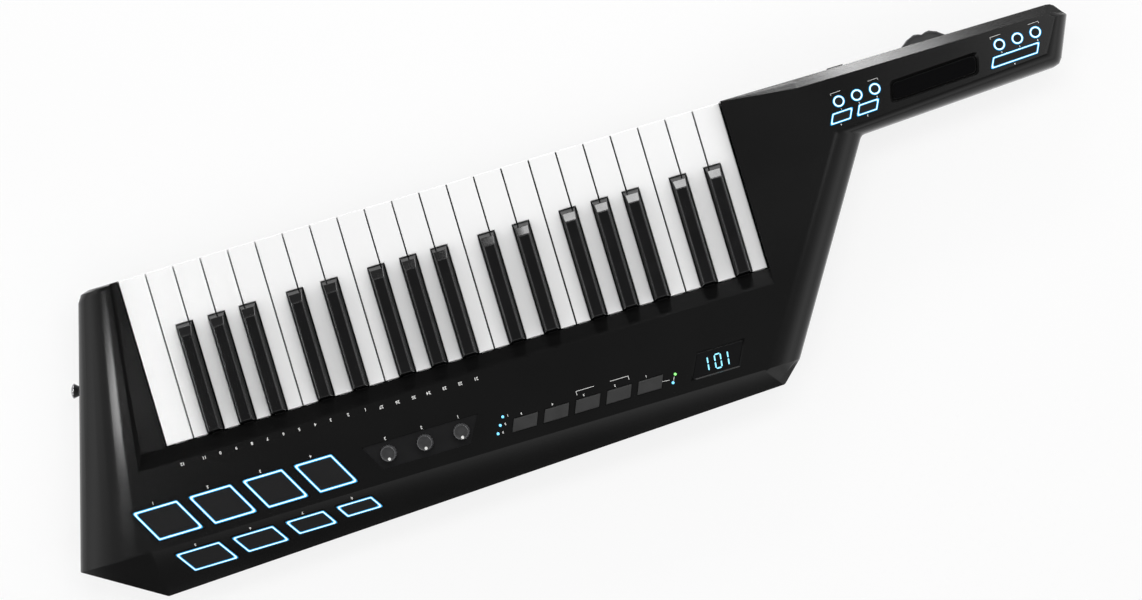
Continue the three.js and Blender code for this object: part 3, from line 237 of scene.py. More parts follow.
# Smoked acrylic of the display: black and glossy
SMOKED_ACRYLIC = Finish(
    "smoked_acrylic_polished", "#0a0a0b", "#0e0e0f", 25.0, 0.12, 0.03, 3.0, 0.002, ior=1.49, specular=0.4
)
# Printed polyester film of the touch strip: black, matt
POLYESTER_FILM = Finish(
    "black_polyester_film_printed", "#030304", "#050506", 15.0, 0.5, 0.05, 0.5, 0.008, specular=0.04
)
# ABS rim of the pitch wheel, painted lighter grey: a painted highlight for the light that catches its edge
WHEEL_RIM_HIGHLIGHT_ABS = Finish("grey_abs_painted_rim_highlight", "#5a5a5d", "#6a6a6d", 6.0, 0.35, 0.08, 0.5, 0.015)
# ABS face of the pitch wheel: its own dark grey, darker than the painted highlight on its rim
WHEEL_FACE_ABS = Finish("dark_abs_moulded", "#242425", "#2e2e30", 9.0, 0.45, 0.05, 0.7, 0.014)
# Moulded ABS of the key chassis: near black and matt
CHASSIS_ABS = Finish("dark_abs_moulded_matt", "#1c1c1d", "#232324", 40.0, 0.55, 0.06, 1.2, 0.02)
# Glass-epoxy board under green solder mask: an even, half-glossy green
SOLDER_MASK = Finish("green_solder_mask", "#1d5a34", "#23683d", 12.0, 0.35, 0.05, 0.8, 0.02)
# Nickel-plated turned steel of the strap pins: bright, with faint tool rings
NICKEL = Finish(
    "nickel_plated_steel_turned", "#b4b4b6", "#a4a4a8", 4.0, 0.14, 0.04, 0.4, 0.004,
    metallic=1.0, groove_mm=0.5,
)
# Black zinc plating of the case screws: dark metal with a dull shine
BLACK_ZINC = Finish("black_zinc_plated_steel", "#2c2c2e", "#3a3a3d", 3.0, 0.34, 0.06, 0.4, 0.01, metallic=1.0)
# Screen-printed epoxy ink: off-white, matt, slightly uneven
WHITE_INK = Finish("white_screen_ink", "#eeeeec", "#e0e0dd", 3.0, 0.6, 0.05, 0.3, 0.004)
# Milky polycarbonate light guide with blue diodes below: white in the middle of its width, blue at its edges
GUIDE_CORE = Finish(
    "light_guide_core", "#dff6ff", "#cfeffc", 16.0, 0.4, 0.04, 0.5, 0.005,
    glow="#dcfbff", glow_drift="#aeeefb", strength=0.9,
)
GUIDE_EDGE = Finish(
    "light_guide_edge", "#1c86bd", "#1575a8", 16.0, 0.4, 0.04, 0.5, 0.005,
    glow="#22a4e2", glow_drift="#1583bf", strength=0.85,
)
# Clear epoxy lenses of lit diodes: glossy, with an even glow
BLUE_DIODE = Finish(
    "blue_diode_lens", "#9fdcf5", "#8ed0ee", 2.0, 0.2, 0.03, 0.5, 0.003,
    glow="#4cc4f5", glow_drift="#35b0ea", strength=1.2,
)
GREEN_DIODE = Finish(
    "green_diode_lens", "#a8f0a0", "#98e890", 2.0, 0.2, 0.03, 0.5, 0.003,
    glow="#62e04e", glow_drift="#4fd03f", strength=1.2,
)
# Tinted epoxy of the display's lit segments: pale blue
SEGMENT_GLOW = Finish(
    "display_segment_glow", "#8fd8ee", "#7fcbe6", 3.0, 0.3, 0.03, 0.5, 0.002,
    glow="#96e4f8", glow_drift="#74d2f0", strength=0.9,
)


def inset(corners: Outline, distance: float) -> list[Vector]:
    """Moves an outline inwards, edge by edge.

    Args:
        corners: The outline's corners, anticlockwise.
        distance: How far each edge moves.

    Returns:
        The corners of the moved outline.
    """
    moved = []
    for i, corner in enumerate(corners):
        before = (corner - corners[i - 1]).normalized()
        after = (corners[(i + 1) % len(corners)] - corner).normalized()
        inward = Vector((-before.y - after.y, before.x + after.x))
        moved.append(corner + inward * (distance / (1 + before.dot(after))))
    return moved


def rounded(corners: Outline, radius: float) -> list[Vector]:
    """Turns each corner of an outline into an arc-like curve.

    Args:
        corners: The outline's corners.
        radius: The radius wanted at each corner.

    Returns:
        The outline's new points.
    """
    points = []
    for i, corner in enumerate(corners):
        before = corners[i - 1] - corner
        after = corners[(i + 1) % len(corners)] - corner
        reach = radius / tan(before.angle(after) / 2)
        start = corner + before.normalized() * reach
        end = corner + after.normalized() * reach
        for share in ARC_SHARES:
            points.append(start.lerp(corner, share).lerp(corner.lerp(end, share), share))
    return points


def circle(middle: Vector, radius: float, sides: int) -> list[Vector]:
    """Returns a round outline, anticlockwise."""
    turns = [FULL_TURN * i / sides for i in range(sides)]
    return [middle + radius * Vector((cos(turn), sin(turn))) for turn in turns]


def slanted(x: float, y: float, width: float, depth: float, slant: float) -> list[Vector]:
    """Returns a slanted outline, anticlockwise from its lower left corner; x and y are its upper left one."""
    low = x + slant
    return [Vector(corner) for corner in ((low, y - depth), (low + width, y - depth), (x + width, y), (x, y))]


def level(points: Iterable[Vector], height: float) -> list[Vector]:
    """Lifts plan points to a height and returns them as points in space."""
    return [Vector((point.x, point.y, height)) for point in points]


@dataclass
class Skin:
    """A mesh under construction, in millimetres, with a finish number for each face."""

    vertices: list[Vector] = field(default_factory=list)
    faces: list[tuple[int, ...]] = field(default_factory=list)
    finish_numbers: list[int] = field(default_factory=list)

    def add_solid(
        self, loops: Sequence[Outline], finishes: Sequence[int] | None = None, ring: bool = False
    ) -> None:
        """Adds a solid from its loops of points.

        Args:
            loops: The loops, anticlockwise as seen from the top, from the foot up.
            finishes: The finish number of the band after each loop; without a ring, the last is the top's.
            ring: Whether the last loop joins the first one, instead of a lid on both.
        """
        numbers = finishes or [0] * len(loops)
        first, count = len(self.vertices), len(loops[0])
        self.vertices += [point for loop in loops for point in loop]
        high = first
        for band in range(len(loops) if ring else len(loops) - 1):
            low, high = high, first + (band + 1) % len(loops) * count
            for i in range(count):
                j = (i + 1) % count
                self.faces.append((low + i, low + j, high + j, high + i))
                self.finish_numbers.append(numbers[band])
        if not ring:
            self.faces += [tuple(reversed(range(first, first + count))), tuple(range(high, high + count))]
            self.finish_numbers += [numbers[0], numbers[-1]]

    def add_turned(self, middle: Vector, profile: Iterable[tuple[float, float]], sides: int) -> None:
        """Adds a round solid from its heights, from the foot up, each with the radius there."""
        self.add_solid([level(circle(middle, radius, sides), height) for height, radius in profile])

    def mesh(self, name: str, seat: Matrix) -> Mesh:
        """Makes the mesh that the skin describes.

        Args:
            name: The mesh's name.
            seat: Takes the skin's millimetres to the frame's metres.

        Returns:
            The mesh.
        """
        made = bpy.data.meshes.new(name)
        made.from_pydata([seat @ point for point in self.vertices], [], self.faces)
        return made

    def piece(self, name: str, seat: Matrix, node: str, finishes: Sequence[Finish]) -> Object:
        """Makes the piece and lets it go with a CAD node.

        Args:
            name: The piece's name.
            seat: Takes the skin's millimetres to the frame's metres.
            node: The CAD node whose body it shares.
            finishes: The finishes that the finish numbers mean.

        Returns:
            The new object.
        """
        mesh = self.mesh(name, seat)
        coat(mesh, finishes)
        mesh.polygons.foreach_set("material_index", self.finish_numbers)
        form = bmesh.new()
        form.from_mesh(mesh)
        bmesh.ops.recalc_face_normals(form, faces=form.faces)
        form.to_mesh(mesh)
        form.free()
        smooth(mesh)
        return settle(name, mesh, node)


def coat(mesh: Mesh, finishes: Iterable[Finish]) -> None:
    """Gives a mesh its finishes in place of those that it has.

    Args:
        mesh: The mesh.
        finishes: The finishes, in the order of their numbers.
    """
    mesh.materials.clear()
    for finish in finishes:
        mesh.materials.append(finish.material())


def put(name: str, data: bpy.types.ID | None) -> Object:
    """Makes an object of some data and puts it in the scene.

    Args:
        name: The object's name.
        data: Its mesh, curve, lamp or camera.

    Returns:
        The object.
    """
    made = bpy.data.objects.new(name, data)
    bpy.context.scene.collection.objects.link(made)
    return made


def smooth(mesh: Mesh, sharp: float = SHARP_EDGE) -> None:
    """Shades a mesh smooth, apart from the edges that turn by more than an angle.

    A flat region of many faces counts with its whole area, so that it stays flat up to the curve beside it.
    Two wide flat regions keep the crease between them.

    Args:
        mesh: The mesh.
        sharp: The angle from which an edge stays sharp.
    """
    mesh.polygons.foreach_set("use_smooth", [True] * len(mesh.polygons))
    mesh.set_sharp_from_angle(angle=sharp)
    form = bmesh.new()
    form.from_mesh(mesh)
    areas = flat_areas(form)
    normals: list[Vector] = []
    for face in form.faces:
        for corner in face.loops:
            total = Vector((0.0, 0.0, 0.0))
            for other in smooth_fan(corner, sharp, areas):
                total += other.face.normal * (other.calc_angle() * areas[other.face])
            normals.append(total.normalized() if total.length else face.normal.copy())
    form.free()
    mesh.normals_split_custom_set(normals)
    mesh.update()


def flat_areas(form: BMesh) -> dict[BMFace, float]:
    """Finds the area of the flat region that each face belongs to.

    Args:
        form: The mesh.

    Returns:
        Each face's region area.
    """
    areas: dict[BMFace, float] = {}
    for start in form.faces:
        if start in areas:
            continue
        areas[start] = 0.0
        region = [start]
        for face in region:
            for other in (other for edge in face.edges for other in edge.link_faces):
                if other not in areas and other.normal.angle(start.normal, 1.0) < FLAT_EDGE:
                    areas[other] = 0.0
                    region.append(other)
        areas.update(dict.fromkeys(region, sum(face.calc_area() for face in region)))
    return areas


def smooth_fan(corner: BMLoop, sharp: float, areas: dict[BMFace, float]) -> list[BMLoop]:
    """Collects the face corners that share a corner's normal.

    Args:
        corner: The face corner.
        sharp: The angle from which an edge parts two normals.
        areas: The area of the flat region that each face belongs to.

    Returns:
        The corners round the same vertex that no sharp edge parts from it, itself included.
    """
    fan = [corner]
    for forward in (True, False):
        here = corner
        while True:
            side = here if forward else here.link_loop_prev
            wide = all(areas[face] > WIDE_REGION for face in side.edge.link_faces)
            limit = CREASE_EDGE if wide else sharp
            if not side.edge.is_contiguous or side.edge.calc_face_angle(HALF_TURN) > limit:
                break
            across = side.link_loop_radial_next
            here = across.link_loop_next if forward else across
            if here in fan:
                break
            fan.append(here)
    return fan


def reshade(mesh: Mesh, seat: Matrix, rule: Callable[[Vector, Vector, Vector], Vector | None]) -> None:
    """Gives chosen corners of a mesh's faces new shading normals.

    Args:
        mesh: The mesh.
        seat: Takes the millimetres that the rule works in to the mesh's metres.
        rule: From a face's normal, its middle and a corner of it to the new normal there, or to None.
    """
    to_plan = seat.inverted()
    normals = [corner.vector.copy() for corner in mesh.corner_normals]
    for face in mesh.polygons:
        middle = to_plan @ face.center
        for number in face.loop_indices:
            spot = to_plan @ mesh.vertices[mesh.loops[number].vertex_index].co
            normals[number] = rule(face.normal, middle, spot) or normals[number]
    mesh.normals_split_custom_set(normals)
    mesh.update()


def settle(name: str, mesh: Mesh, node: str) -> Object:
    """Puts a piece in the scene, on the body of a CAD node.

    Args:
        name: The piece's name.
        mesh: Its mesh.
        node: The CAD node.

    Returns:
        The piece.
    """
    piece = put(name, mesh)
    record = frame["record"]
    body = next(body for body, nodes in record["behaviour"]["bodies"].items() if node in nodes)
    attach(piece, body)
    log.info("%s rides on %s", name, body)
    return piece


def dress(node: str, finish: Finish) -> None:
    """Gives a CAD node a finish and leaves its shape alone."""
    coat(frame["nodes"][node].data, [finish])
    log.info("%s is dressed in %s", node, finish.name)


def refined(
    node: str,
    finish: Finish,
    edge_mm: float = 0.0,
    steps: int = 2,
    sharp: float = SHARP_EDGE,
    slim_mm: float = 0.0,
) -> Object:
    """Makes a copy of a CAD node with broken edges and even shading that stands for the node.

    Args:
        node: The CAD node.
        finish: Its finish.
        edge_mm: How wide the break of its sharp edges is, or zero to leave them.
        steps: How many faces the break has.
        sharp: The angle from which an edge is sharp.
        slim_mm: How much narrower it is made along x.

    Returns:
        The new piece.
    """
    name = node + "_surface"
    mesh = bpy.data.meshes.new(name)
    form = bmesh.new()
    form.from_mesh(frame["nodes"][node].data)
    bmesh.ops.remove_doubles(form, verts=form.verts, dist=WELD_REACH)
    low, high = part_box(node)
    middle, wide = (low.x + high.x) / 2, high.x - low.x
    for vertex in form.verts:
        vertex.co.x = middle + (vertex.co.x - middle) * (1 - slim_mm * MM / wide)
    if edge_mm:
        bmesh.ops.dissolve_limit(form, angle_limit=FLAT_EDGE, verts=form.verts, edges=form.edges)
        edges = [e for e in form.edges if len(e.link_faces) == 2 and e.calc_face_angle(0) > sharp]
        bmesh.ops.bevel(
            form, geom=edges, offset=edge_mm * MM, offset_type="OFFSET", segments=steps,
            profile=0.5, affect="EDGES", clamp_overlap=True,
        )
    form.to_mesh(mesh)
    form.free()
    coat(mesh, [finish])
    mesh.polygons.foreach_set("material_index", [0] * len(mesh.polygons))
    smooth(mesh, sharp)
    piece = settle(name, mesh, node)
    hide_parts(node)
    return piece


def second_finish(piece: Object, finish: Finish, taken: Callable[[Vector, Vector], bool]) -> None:
    """Gives some faces of a piece another finish.

    Args:
        piece: The piece.
        finish: The other finish.
        taken: Tells from a face's normal and middle, in metres, whether it takes that finish.
    """
    piece.data.materials.append(finish.material())
    for face in piece.data.polygons:
        if taken(face.normal, face.center):
            face.material_index = 1


def carve(piece: Object, tool: Skin, seat: Matrix) -> None:
    """Cuts a skin out of a piece for good.

    Args:
        piece: The piece that loses the material.
        tool: The cutter.
        seat: Takes the cutter's millimetres to the frame's metres.
    """
    cutter = put("cutter", tool.mesh("cutter", seat))
    cut = piece.modifiers.new("cut", "BOOLEAN")
    cut.operation = "DIFFERENCE"
    cut.solver = "EXACT"
    cut.object = cutter
    bpy.context.view_layer.update()
    graph = bpy.context.evaluated_depsgraph_get()
    carved = bpy.data.meshes.new_from_object(piece.evaluated_get(graph))
    piece.modifiers.remove(cut)
    piece.data = carved
    smooth(piece.data)
    bpy.data.objects.remove(cutter)


@dataclass(frozen=True)
class Plan:
    """The layout: millimetres from the outer edge of the first white key and from the key fronts.

    The crease is the one between the panel and the chamfer.
    """

    key_gap: float = 1.0
    panel_height: float = 56.0
    crease: float = 221.5
    chamfer_angle: float = radians(32.5)
    neck_root: Vector = Vector((623.0, -20.0, 0.0))
    neck_turn: float = radians(2.4)

    @property
    def seat(self) -> Matrix:
        """The matrix from the layout's millimetres to the frame's metres."""
        low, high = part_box("white_key_01")
        return Matrix.Translation((low.x - self.key_gap / 2 * MM, high.y, 0)) @ Matrix.Scale(MM, 4)

    @property
    def panel_seat(self) -> Matrix:
        """The seat of what lies on the flat panel."""
        return self.seat @ Matrix.Translation((0, 0, self.panel_height))

    @property
    def chamfer_seat(self) -> Matrix:
        """The seat of what lies on the chamfer below the panel."""
        lean = Matrix.Rotation(self.chamfer_angle, 4, "X")
        return self.seat @ Matrix.Translation((0, -self.crease, self.panel_height)) @ lean

    @property
    def neck_seat(self) -> Matrix:
        """The seat of the neck's controls, which are turned a little against the keyboard."""
        return self.panel_seat @ Matrix.Translation(self.neck_root) @ Matrix.Rotation(self.neck_turn, 4, "Z")


PLAN = Plan()


@dataclass
class LightGuides(Skin):
    """Light guides that fill the grooves round pads and keys: bright along the middle, blue at the edges."""

    clearance: float = 0.03
    edge_share: float = 0.29
    foot: float = 0.3
    rim: float = 0.78
    crest: float = 0.98

    def add_guide(
        self, outline: Callable[[float], list[Vector]], start: float, end: float, inner: float = 1.0
    ) -> None:
        """Adds one guide.

        Args:
            outline: Gives the outline of the pad or key, moved inwards by a distance.
            start: How far inside it the groove starts.
            end: How far inside it the groove ends.
            inner: The width of the guide's inner edge, in widths of its outer edge.
        """
        edge = self.edge_share * (end - start)
        start, end = start + self.clearance, end - self.clearance
        crown = (start + edge, self.crest), (end - inner * edge, self.crest)
        section = (start, self.foot), (start, self.rim), *crown, (end, self.rim), (end, self.foot)
        loops = [level(outline(inside), height) for inside, height in section]
        self.add_solid(loops, [1, 1, 0, 1, 1, 1], ring=True)


@dataclass
class Ink(Skin):
    """Lines and numbers in white screen ink: thin closed bodies that lie on a surface."""

    thickness: float = 0.03
    stroke_gain: float = 0.09
    size_per_height: float = 1.42
    curve_steps: int = 3
    weld: float = 0.001

    def add_mark(self, outline: Outline) -> None:
        """Adds a printed shape."""
        self.add_solid([level(outline, 0), level(outline, self.thickness)])

    def add_bracket(self, span: Triple, tick: float, width: float, opening: float) -> None:
        """Adds a bracket: a line that is open in the middle, with a tick down at each end.

        Args:
            span: Its left end, its right end and the upper edge of its line.
            tick: How far the ticks reach down.
            width: The line's width.
            opening: How much of the line is left out.
        """
        left, right, top = span
        arm = (right - left - opening) / 2
        for end, inward in ((left, 1), (right, -1)):
            corners = ((0, tick), (width, tick), (width, width), (arm, width), (arm, 0), (0, 0))
            self.add_mark([Vector((end + inward * x, top - y)) for x, y in corners])

    def add_line(self, start: Vector, end: Vector, width: float) -> None:
        """Adds a straight line.

        Args:
            start: One end of its middle.
            end: The other end.
            width: Its width.
        """
        along = (end - start).normalized()
        side = Vector((-along.y, along.x)) * width / 2
        self.add_mark([start - side, end - side, end + side, start + side])

    def print_numbers(
        self, name: str, words: Sequence[tuple[str, float, float]], height: float, seat: Matrix
    ) -> None:
        """Prints several numbers as one piece, upright for the player.

        Args:
            name: The piece's name.
            words: Each number with its place in plan.
            height: The height of the digits.
            seat: The seat of the surface that they lie on.
        """
        joined = bmesh.new()
        for text, x, y in words:
            curve = bpy.data.curves.new(name, "FONT")
            curve.body = text
            curve.size = height * self.size_per_height
            curve.offset = self.stroke_gain
            curve.align_x = curve.align_y = "CENTER"
            curve.resolution_u = self.curve_steps
            curve.extrude = self.thickness / 2
            draft = put(name, curve)
            bpy.context.view_layer.update()
            digits = bpy.data.meshes.new_from_object(draft)
            place = Matrix.Translation((x, y, self.thickness / 2))
            digits.transform(seat @ place @ Matrix.Rotation(HALF_TURN, 4, "Z"))
            joined.from_mesh(digits)
            bpy.data.objects.remove(draft)
            bpy.data.meshes.remove(digits)
        bmesh.ops.remove_doubles(joined, verts=joined.verts, dist=self.weld * MM)
        mesh = bpy.data.meshes.new(name)
        joined.to_mesh(mesh)
        joined.free()
        coat(mesh, [WHITE_INK])
        settle(name, mesh, COVER)


@dataclass
class Case:
    """The two covers with the screws that hold them, the battery door and the strap pins."""

    chassis_screws: tuple[float, ...] = (25.7, 180.9, 336.1, 491.3)
    chassis_screw_rows: tuple[float, float] = (-20.0, -171.5)
    edge_screws: Points = ((-30.0, -170.0), (530.7, -135.0), (560.7, -60.0))
    screw_sides: int = 28
    counterbore: Points = ((-1.0, 3.6), (2.4, 3.6))
    screw_head: Points = ((0.5, 1.55), (0.68, 2.666), (1.025, 3.1), (2.4, 3.1))
    cross_length: float = 3.6
    cross_width: float = 0.8
    cross_foot: float = -1.0
    cross_depth: float = 1.4
    chamfer_start: tuple[float, float] = (-35.8, 39.9)
    chamfer_end: tuple[float, float] = (503.0, 16.5)
    chamfer_tilts: tuple[float, float] = (radians(30), radians(42))
    lowest_top: float = 55.5
    toe_start: float = -35.6
    toe_reach: float = 60.0
    lip_height: float = 31.0
    toe_limits: tuple[float, float] = (-0.35, 0.08)
    toe_facings: tuple[Vector, Vector] = (Vector((-0.05, -0.57, 0.82)), Vector((-0.32, -0.6, 0.73)))
    tray_depth: float = 1.2
    tray_ends: tuple[float, float] = (150.0, 258.0)
    tray_slack: float = 0.1
    tray_facing: float = 0.99
    cheek_turn: float = atan2(-222.1, -64.7)
    end_pin_place: Triple = (-58.3511, -77.4992, 21.5)
    neck_pin_place: Triple = (657.0, -30.0, 16.0)
    pin_sides: int = 48
    pin_profile: Points = (
        (0.06, 4.35), (0.8, 4.35), (1.3, 4.0), (5.3, 6.15), (5.8, 6.3), (6.4, 6.15), (7.3, 5.0), (7.95, 3.0),
        (8.2, 0.8),
    )

    def build(self) -> None:
        """Builds the covers, the screws, the door and the pins."""
        front = refined("front_cover", SATIN_ABS)
        reshade(front.data, PLAN.seat, self.facing)
        self.dress_tray(front)
        rear = refined("rear_cover", BACK_ABS)
        bores = Skin()
        for place in self.screw_places():
            bores.add_turned(place, self.counterbore, self.screw_sides)
        carve(rear, bores, PLAN.seat)
        refined("battery_door", BACK_ABS, edge_mm=0.35)
        self.add_screws()
        self.add_pins()
        dress("main_board", SOLDER_MASK)

    def facing(self, normal: Vector, middle: Vector, spot: Vector) -> Vector | None:
        """Rules how the front cover is shaded where its own normals don't do.

        The toe is one curved face from the chamfer's end to the cheek. The chamfer is slightly crowned, so
        that its tilt grows from its upper edge to its lower one. Level faces under the panel are flat.

        Args:
            normal: The face's normal.
            middle: The face's middle in the layout.
            spot: The corner's place in the layout.

        Returns:
            The shading normal at the corner, or None where it stays.
        """
        on_toe = middle.x < self.toe_start and middle.z > self.lip_height
        if on_toe and normal.y < self.toe_limits[0] and normal.z > self.toe_limits[1]:
            share = min(max((self.toe_start - spot.x) / self.toe_reach, 0.0), 1.0)
            return self.toe_facings[0].lerp(self.toe_facings[1], share).normalized()
        lean = PLAN.chamfer_angle
        if normal.angle(Vector((0.0, -sin(lean), cos(lean)))) < FLAT_EDGE:
            (start, start_width), (end, end_width) = self.chamfer_start, self.chamfer_end
            along = min(max((spot.x - start) / (end - start), 0.0), 1.0)
            down = -(spot.y + PLAN.crease) / (start_width + (end_width - start_width) * along)
            upper, lower = self.chamfer_tilts
            tilt = upper + (lower - upper) * min(max(down, 0.0), 1.0)
            return Vector((0.0, -sin(tilt), cos(tilt)))
        if normal.z > cos(FLAT_EDGE) and middle.z < self.lowest_top:
            return normal.copy()
        return None

    def dress_tray(self, front: Object) -> None:
        """Gives the floor of the knobs' tray its coarser texture.

        Args:
            front: The front cover.
        """
        left, right = ((PLAN.seat @ Vector((end, 0, 0))).x for end in self.tray_ends)
        floor = (PLAN.panel_height - self.tray_depth) * MM
        second_finish(
            front,
            TRAY_ABS,
            lambda normal, middle: normal.z > self.tray_facing
            and left < middle.x < right
            and abs(middle.z - floor) < self.tray_slack * MM,
        )

    def add_pins(self) -> None:
        """Builds both strap pins in place of their CAD nodes."""
        turn = Matrix.Rotation(self.cheek_turn, 4, "Z") @ Matrix.Rotation(HALF_TURN / 2, 4, "X")
        cheek = Matrix.Translation(self.end_pin_place) @ turn
        neck = Matrix.Translation(self.neck_pin_place) @ Matrix.Rotation(HALF_TURN, 4, "X")
        for node, place in (("end_strap_pin", cheek), ("neck_strap_pin", neck)):
            skin = Skin()
            skin.add_turned(Vector((0, 0)), self.pin_profile, self.pin_sides)
            pin = skin.piece(node + "_turned", PLAN.seat @ place, node, [NICKEL])
            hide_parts(node)

    def screw_places(self) -> list[Vector]:
        """Returns the places of the case screws in plan."""
        chassis = [(x, y) for x in self.chassis_screws for y in self.chassis_screw_rows]
        return [Vector(place) for place in (*chassis, *self.edge_screws)]

    def add_screws(self) -> None:
        """Adds a cross-head screw in each counterbore."""
        arm, half = self.cross_length / 2, self.cross_width / 2
        outline = (
            (-half, -arm), (half, -arm), (half, -half), (arm, -half), (arm, half), (half, half),
            (half, arm), (-half, arm), (-half, half), (-arm, half), (-arm, -half), (-half, -half),
        )
        for number, place in enumerate(self.screw_places(), 1):
            skin, cross = Skin(), Skin()
            skin.add_turned(place, self.screw_head, self.screw_sides)
            screw = skin.piece(f"case_screw_{number:02d}", PLAN.seat, "end_strap_pin", [BLACK_ZINC])
            points = [place + Vector(point) for point in outline]
            cross.add_solid([level(points, self.cross_foot), level(points, self.cross_depth)])
            carve(screw, cross, PLAN.seat)


@dataclass
class Keybed:
    """The white and black keys, and the chassis that carries them."""

    white_edge: float = 0.2
    white_slim: float = 0.24
    black_edge: float = 0.55
    nose_angle: float = radians(24)
    flank_facing: float = 0.97

    def build(self) -> None:
        """Dresses each key and the chassis, and leaves the long sides of the black keys unpolished."""
        for node in sorted(frame["nodes"]):
            if node.startswith("white_key"):
                refined(node, WHITE_KEY_ABS, self.white_edge, slim_mm=self.white_slim)
            elif node.startswith("black_key"):
                key = refined(node, BLACK_KEY_ABS, self.black_edge, steps=3, sharp=self.nose_angle)
                second_finish(key, BLACK_FLANK_ABS, lambda normal, _: abs(normal.x) > self.flank_facing)
        dress("key_chassis", CHASSIS_ABS)


@dataclass
class PadRow:
    """A row of four pads on one silicone mat, each with a light frame and a number above it."""

    node: str
    start: float
    width: float
    taper: float
    spacing: float
    setback: float
    depth: float
    depth_taper: float
    slant: float
    seat: Matrix
    first_number: int
    count: int = 4
    frame_inset: float = 0.5
    frame_width: float = 2.2
    corner_radius: float = 1.6
    number_height: float = 2.3
    number_gap: float = 2.6

    def build(self) -> None:
        """Dresses the mat, and adds the light frames and the numbers."""
        dress(self.node, SILICONE)
        guides = LightGuides()
        words = []
        x = self.start
        for index in range(self.count):
            width = self.width - self.taper * index
            depth = self.depth - self.depth_taper * index
            pad = slanted(x, -self.setback, width, depth, self.slant * depth / self.depth)
            guides.add_guide(
                lambda inside: rounded(inset(pad, inside), self.corner_radius),
                self.frame_inset, self.frame_inset + self.frame_width,
            )
            words.append((str(self.first_number + index), x + width / 2, self.number_gap - self.setback))
            x += width + self.spacing
        guides.piece(self.node + "_light_frames", self.seat, self.node, [GUIDE_CORE, GUIDE_EDGE])
        Ink().print_numbers(self.node + "_numbers", words, self.number_height, self.seat)


@dataclass
class NeckKeypad:
    """A cluster of neck keys: three round keys above one or two bars, each with a light guide."""

    node: str
    ring_x: float
    ring_y: float
    bars: tuple[Triple, ...]
    bracket: Triple
    first_number: int
    ring_pitch: float = 15.6
    ring_count: int = 3
    ring_radius: float = 5.05
    ring_width: float = 1.85
    ring_inner: float = 0.5
    ring_sides: int = 40
    bar_depth: float = 9.2
    bar_slant: float = 4.9
    bar_frame_width: float = 1.7
    corner_radius: float = 1.2
    line_width: float = 0.3
    bracket_tick: float = 1.8
    bracket_opening: float = 24.0
    number_height: float = 1.3
    number_gap: float = 1.6

    def build(self) -> None:
        """Dresses the mat, and adds the light guides, the printed bracket and the numbers."""
        dress(self.node, SILICONE)
        guides, lines = LightGuides(), Ink()
        spots = []
        for index in range(self.ring_count):
            middle = Vector((self.ring_x + index * self.ring_pitch, -self.ring_y))
            spots.append((middle.x, middle.y - self.ring_radius))
            guides.add_guide(
                lambda inside: circle(middle, self.ring_radius - inside, self.ring_sides),
                0.0, self.ring_width, self.ring_inner,
            )
        for x, y, width in self.bars:
            bar = slanted(x, -y, width, self.bar_depth, -self.bar_slant)
            spots.append(((bar[0].x + bar[1].x) / 2, bar[0].y))
            guides.add_guide(
                lambda inside: rounded(inset(bar, inside), self.corner_radius),
                0.0, self.bar_frame_width,
            )
        guides.piece(self.node + "_light_guides", PLAN.neck_seat, self.node, [GUIDE_CORE, GUIDE_EDGE])
        lines.add_bracket(self.bracket, self.bracket_tick, self.line_width, self.bracket_opening)
        lines.piece(self.node + "_bracket", PLAN.neck_seat, COVER, [WHITE_INK])
        words = [(str(self.first_number + i), x, y - self.number_gap) for i, (x, y) in enumerate(spots)]
        lines.print_numbers(self.node + "_numbers", words, self.number_height, PLAN.neck_seat)


class Segment(Enum):
    """The bars of a seven-segment digit: the place of each one's middle and whether it stands upright."""

    TOP = (0.0, 1.0, False)
    UPPER_LEFT = (-0.5, 0.5, True)
    UPPER_RIGHT = (0.5, 0.5, True)
    LOWER_LEFT = (-0.5, -0.5, True)
    LOWER_RIGHT = (0.5, -0.5, True)
    BOTTOM = (0.0, -1.0, False)


DIGITS = {"0": tuple(Segment), "1": (Segment.UPPER_RIGHT, Segment.LOWER_RIGHT)}


@dataclass
class Display:
    """The display: a smoked window over three digits of glowing segments."""

    shown: str = "101"
    middle: tuple[float, float] = (455.4, -203.4)
    digit_pitch: float = 8.6
    digit_width: float = 5.0
    digit_height: float = 11.4
    segment_width: float = 1.1
    segment_gap: float = 0.35
    lean: float = tan(radians(7))
    surface: float = -1.9
    thickness: float = 0.05

    def build(self) -> None:
        """Dresses the window and adds the lit segments."""
        refined("display_window", SMOKED_ACRYLIC, edge_mm=0.2)
        skin = Skin()
        for index, digit in enumerate(self.shown):
            shift = (index - (len(self.shown) - 1) / 2) * self.digit_pitch
            narrow = self.digit_width / 2 if digit == "1" else 0.0
            for segment in DIGITS[digit]:
                self.add_segment(skin, segment, shift - narrow)
        turn = Matrix.Translation((*self.middle, 0)) @ Matrix.Rotation(HALF_TURN, 4, "Z")
        skin.piece("display_digits", PLAN.panel_seat @ turn, "display_window", [SEGMENT_GLOW])

    def add_segment(self, skin: Skin, segment: Segment, shift: float) -> None:
        """Adds one bar with pointed ends.

        Args:
            skin: The skin that takes it.
            segment: Which bar of the digit.
            shift: The digit's place along the display.
        """
        across, up, upright = segment.value
        half = self.segment_width / 2
        reach = (self.digit_height / 2 if upright else self.digit_width) / 2 - self.segment_gap
        neck = reach - half
        bar = [(-reach, 0), (-neck, -half), (neck, -half), (reach, 0), (neck, half), (-neck, half)]
        points = []
        for u, v in [(-v, u) for u, v in bar] if upright else bar:
            y = up * self.digit_height / 2 + v
            points.append(Vector((across * self.digit_width + u + shift + y * self.lean, y)))
        skin.add_solid([level(points, self.surface), level(points, self.surface + self.thickness)])


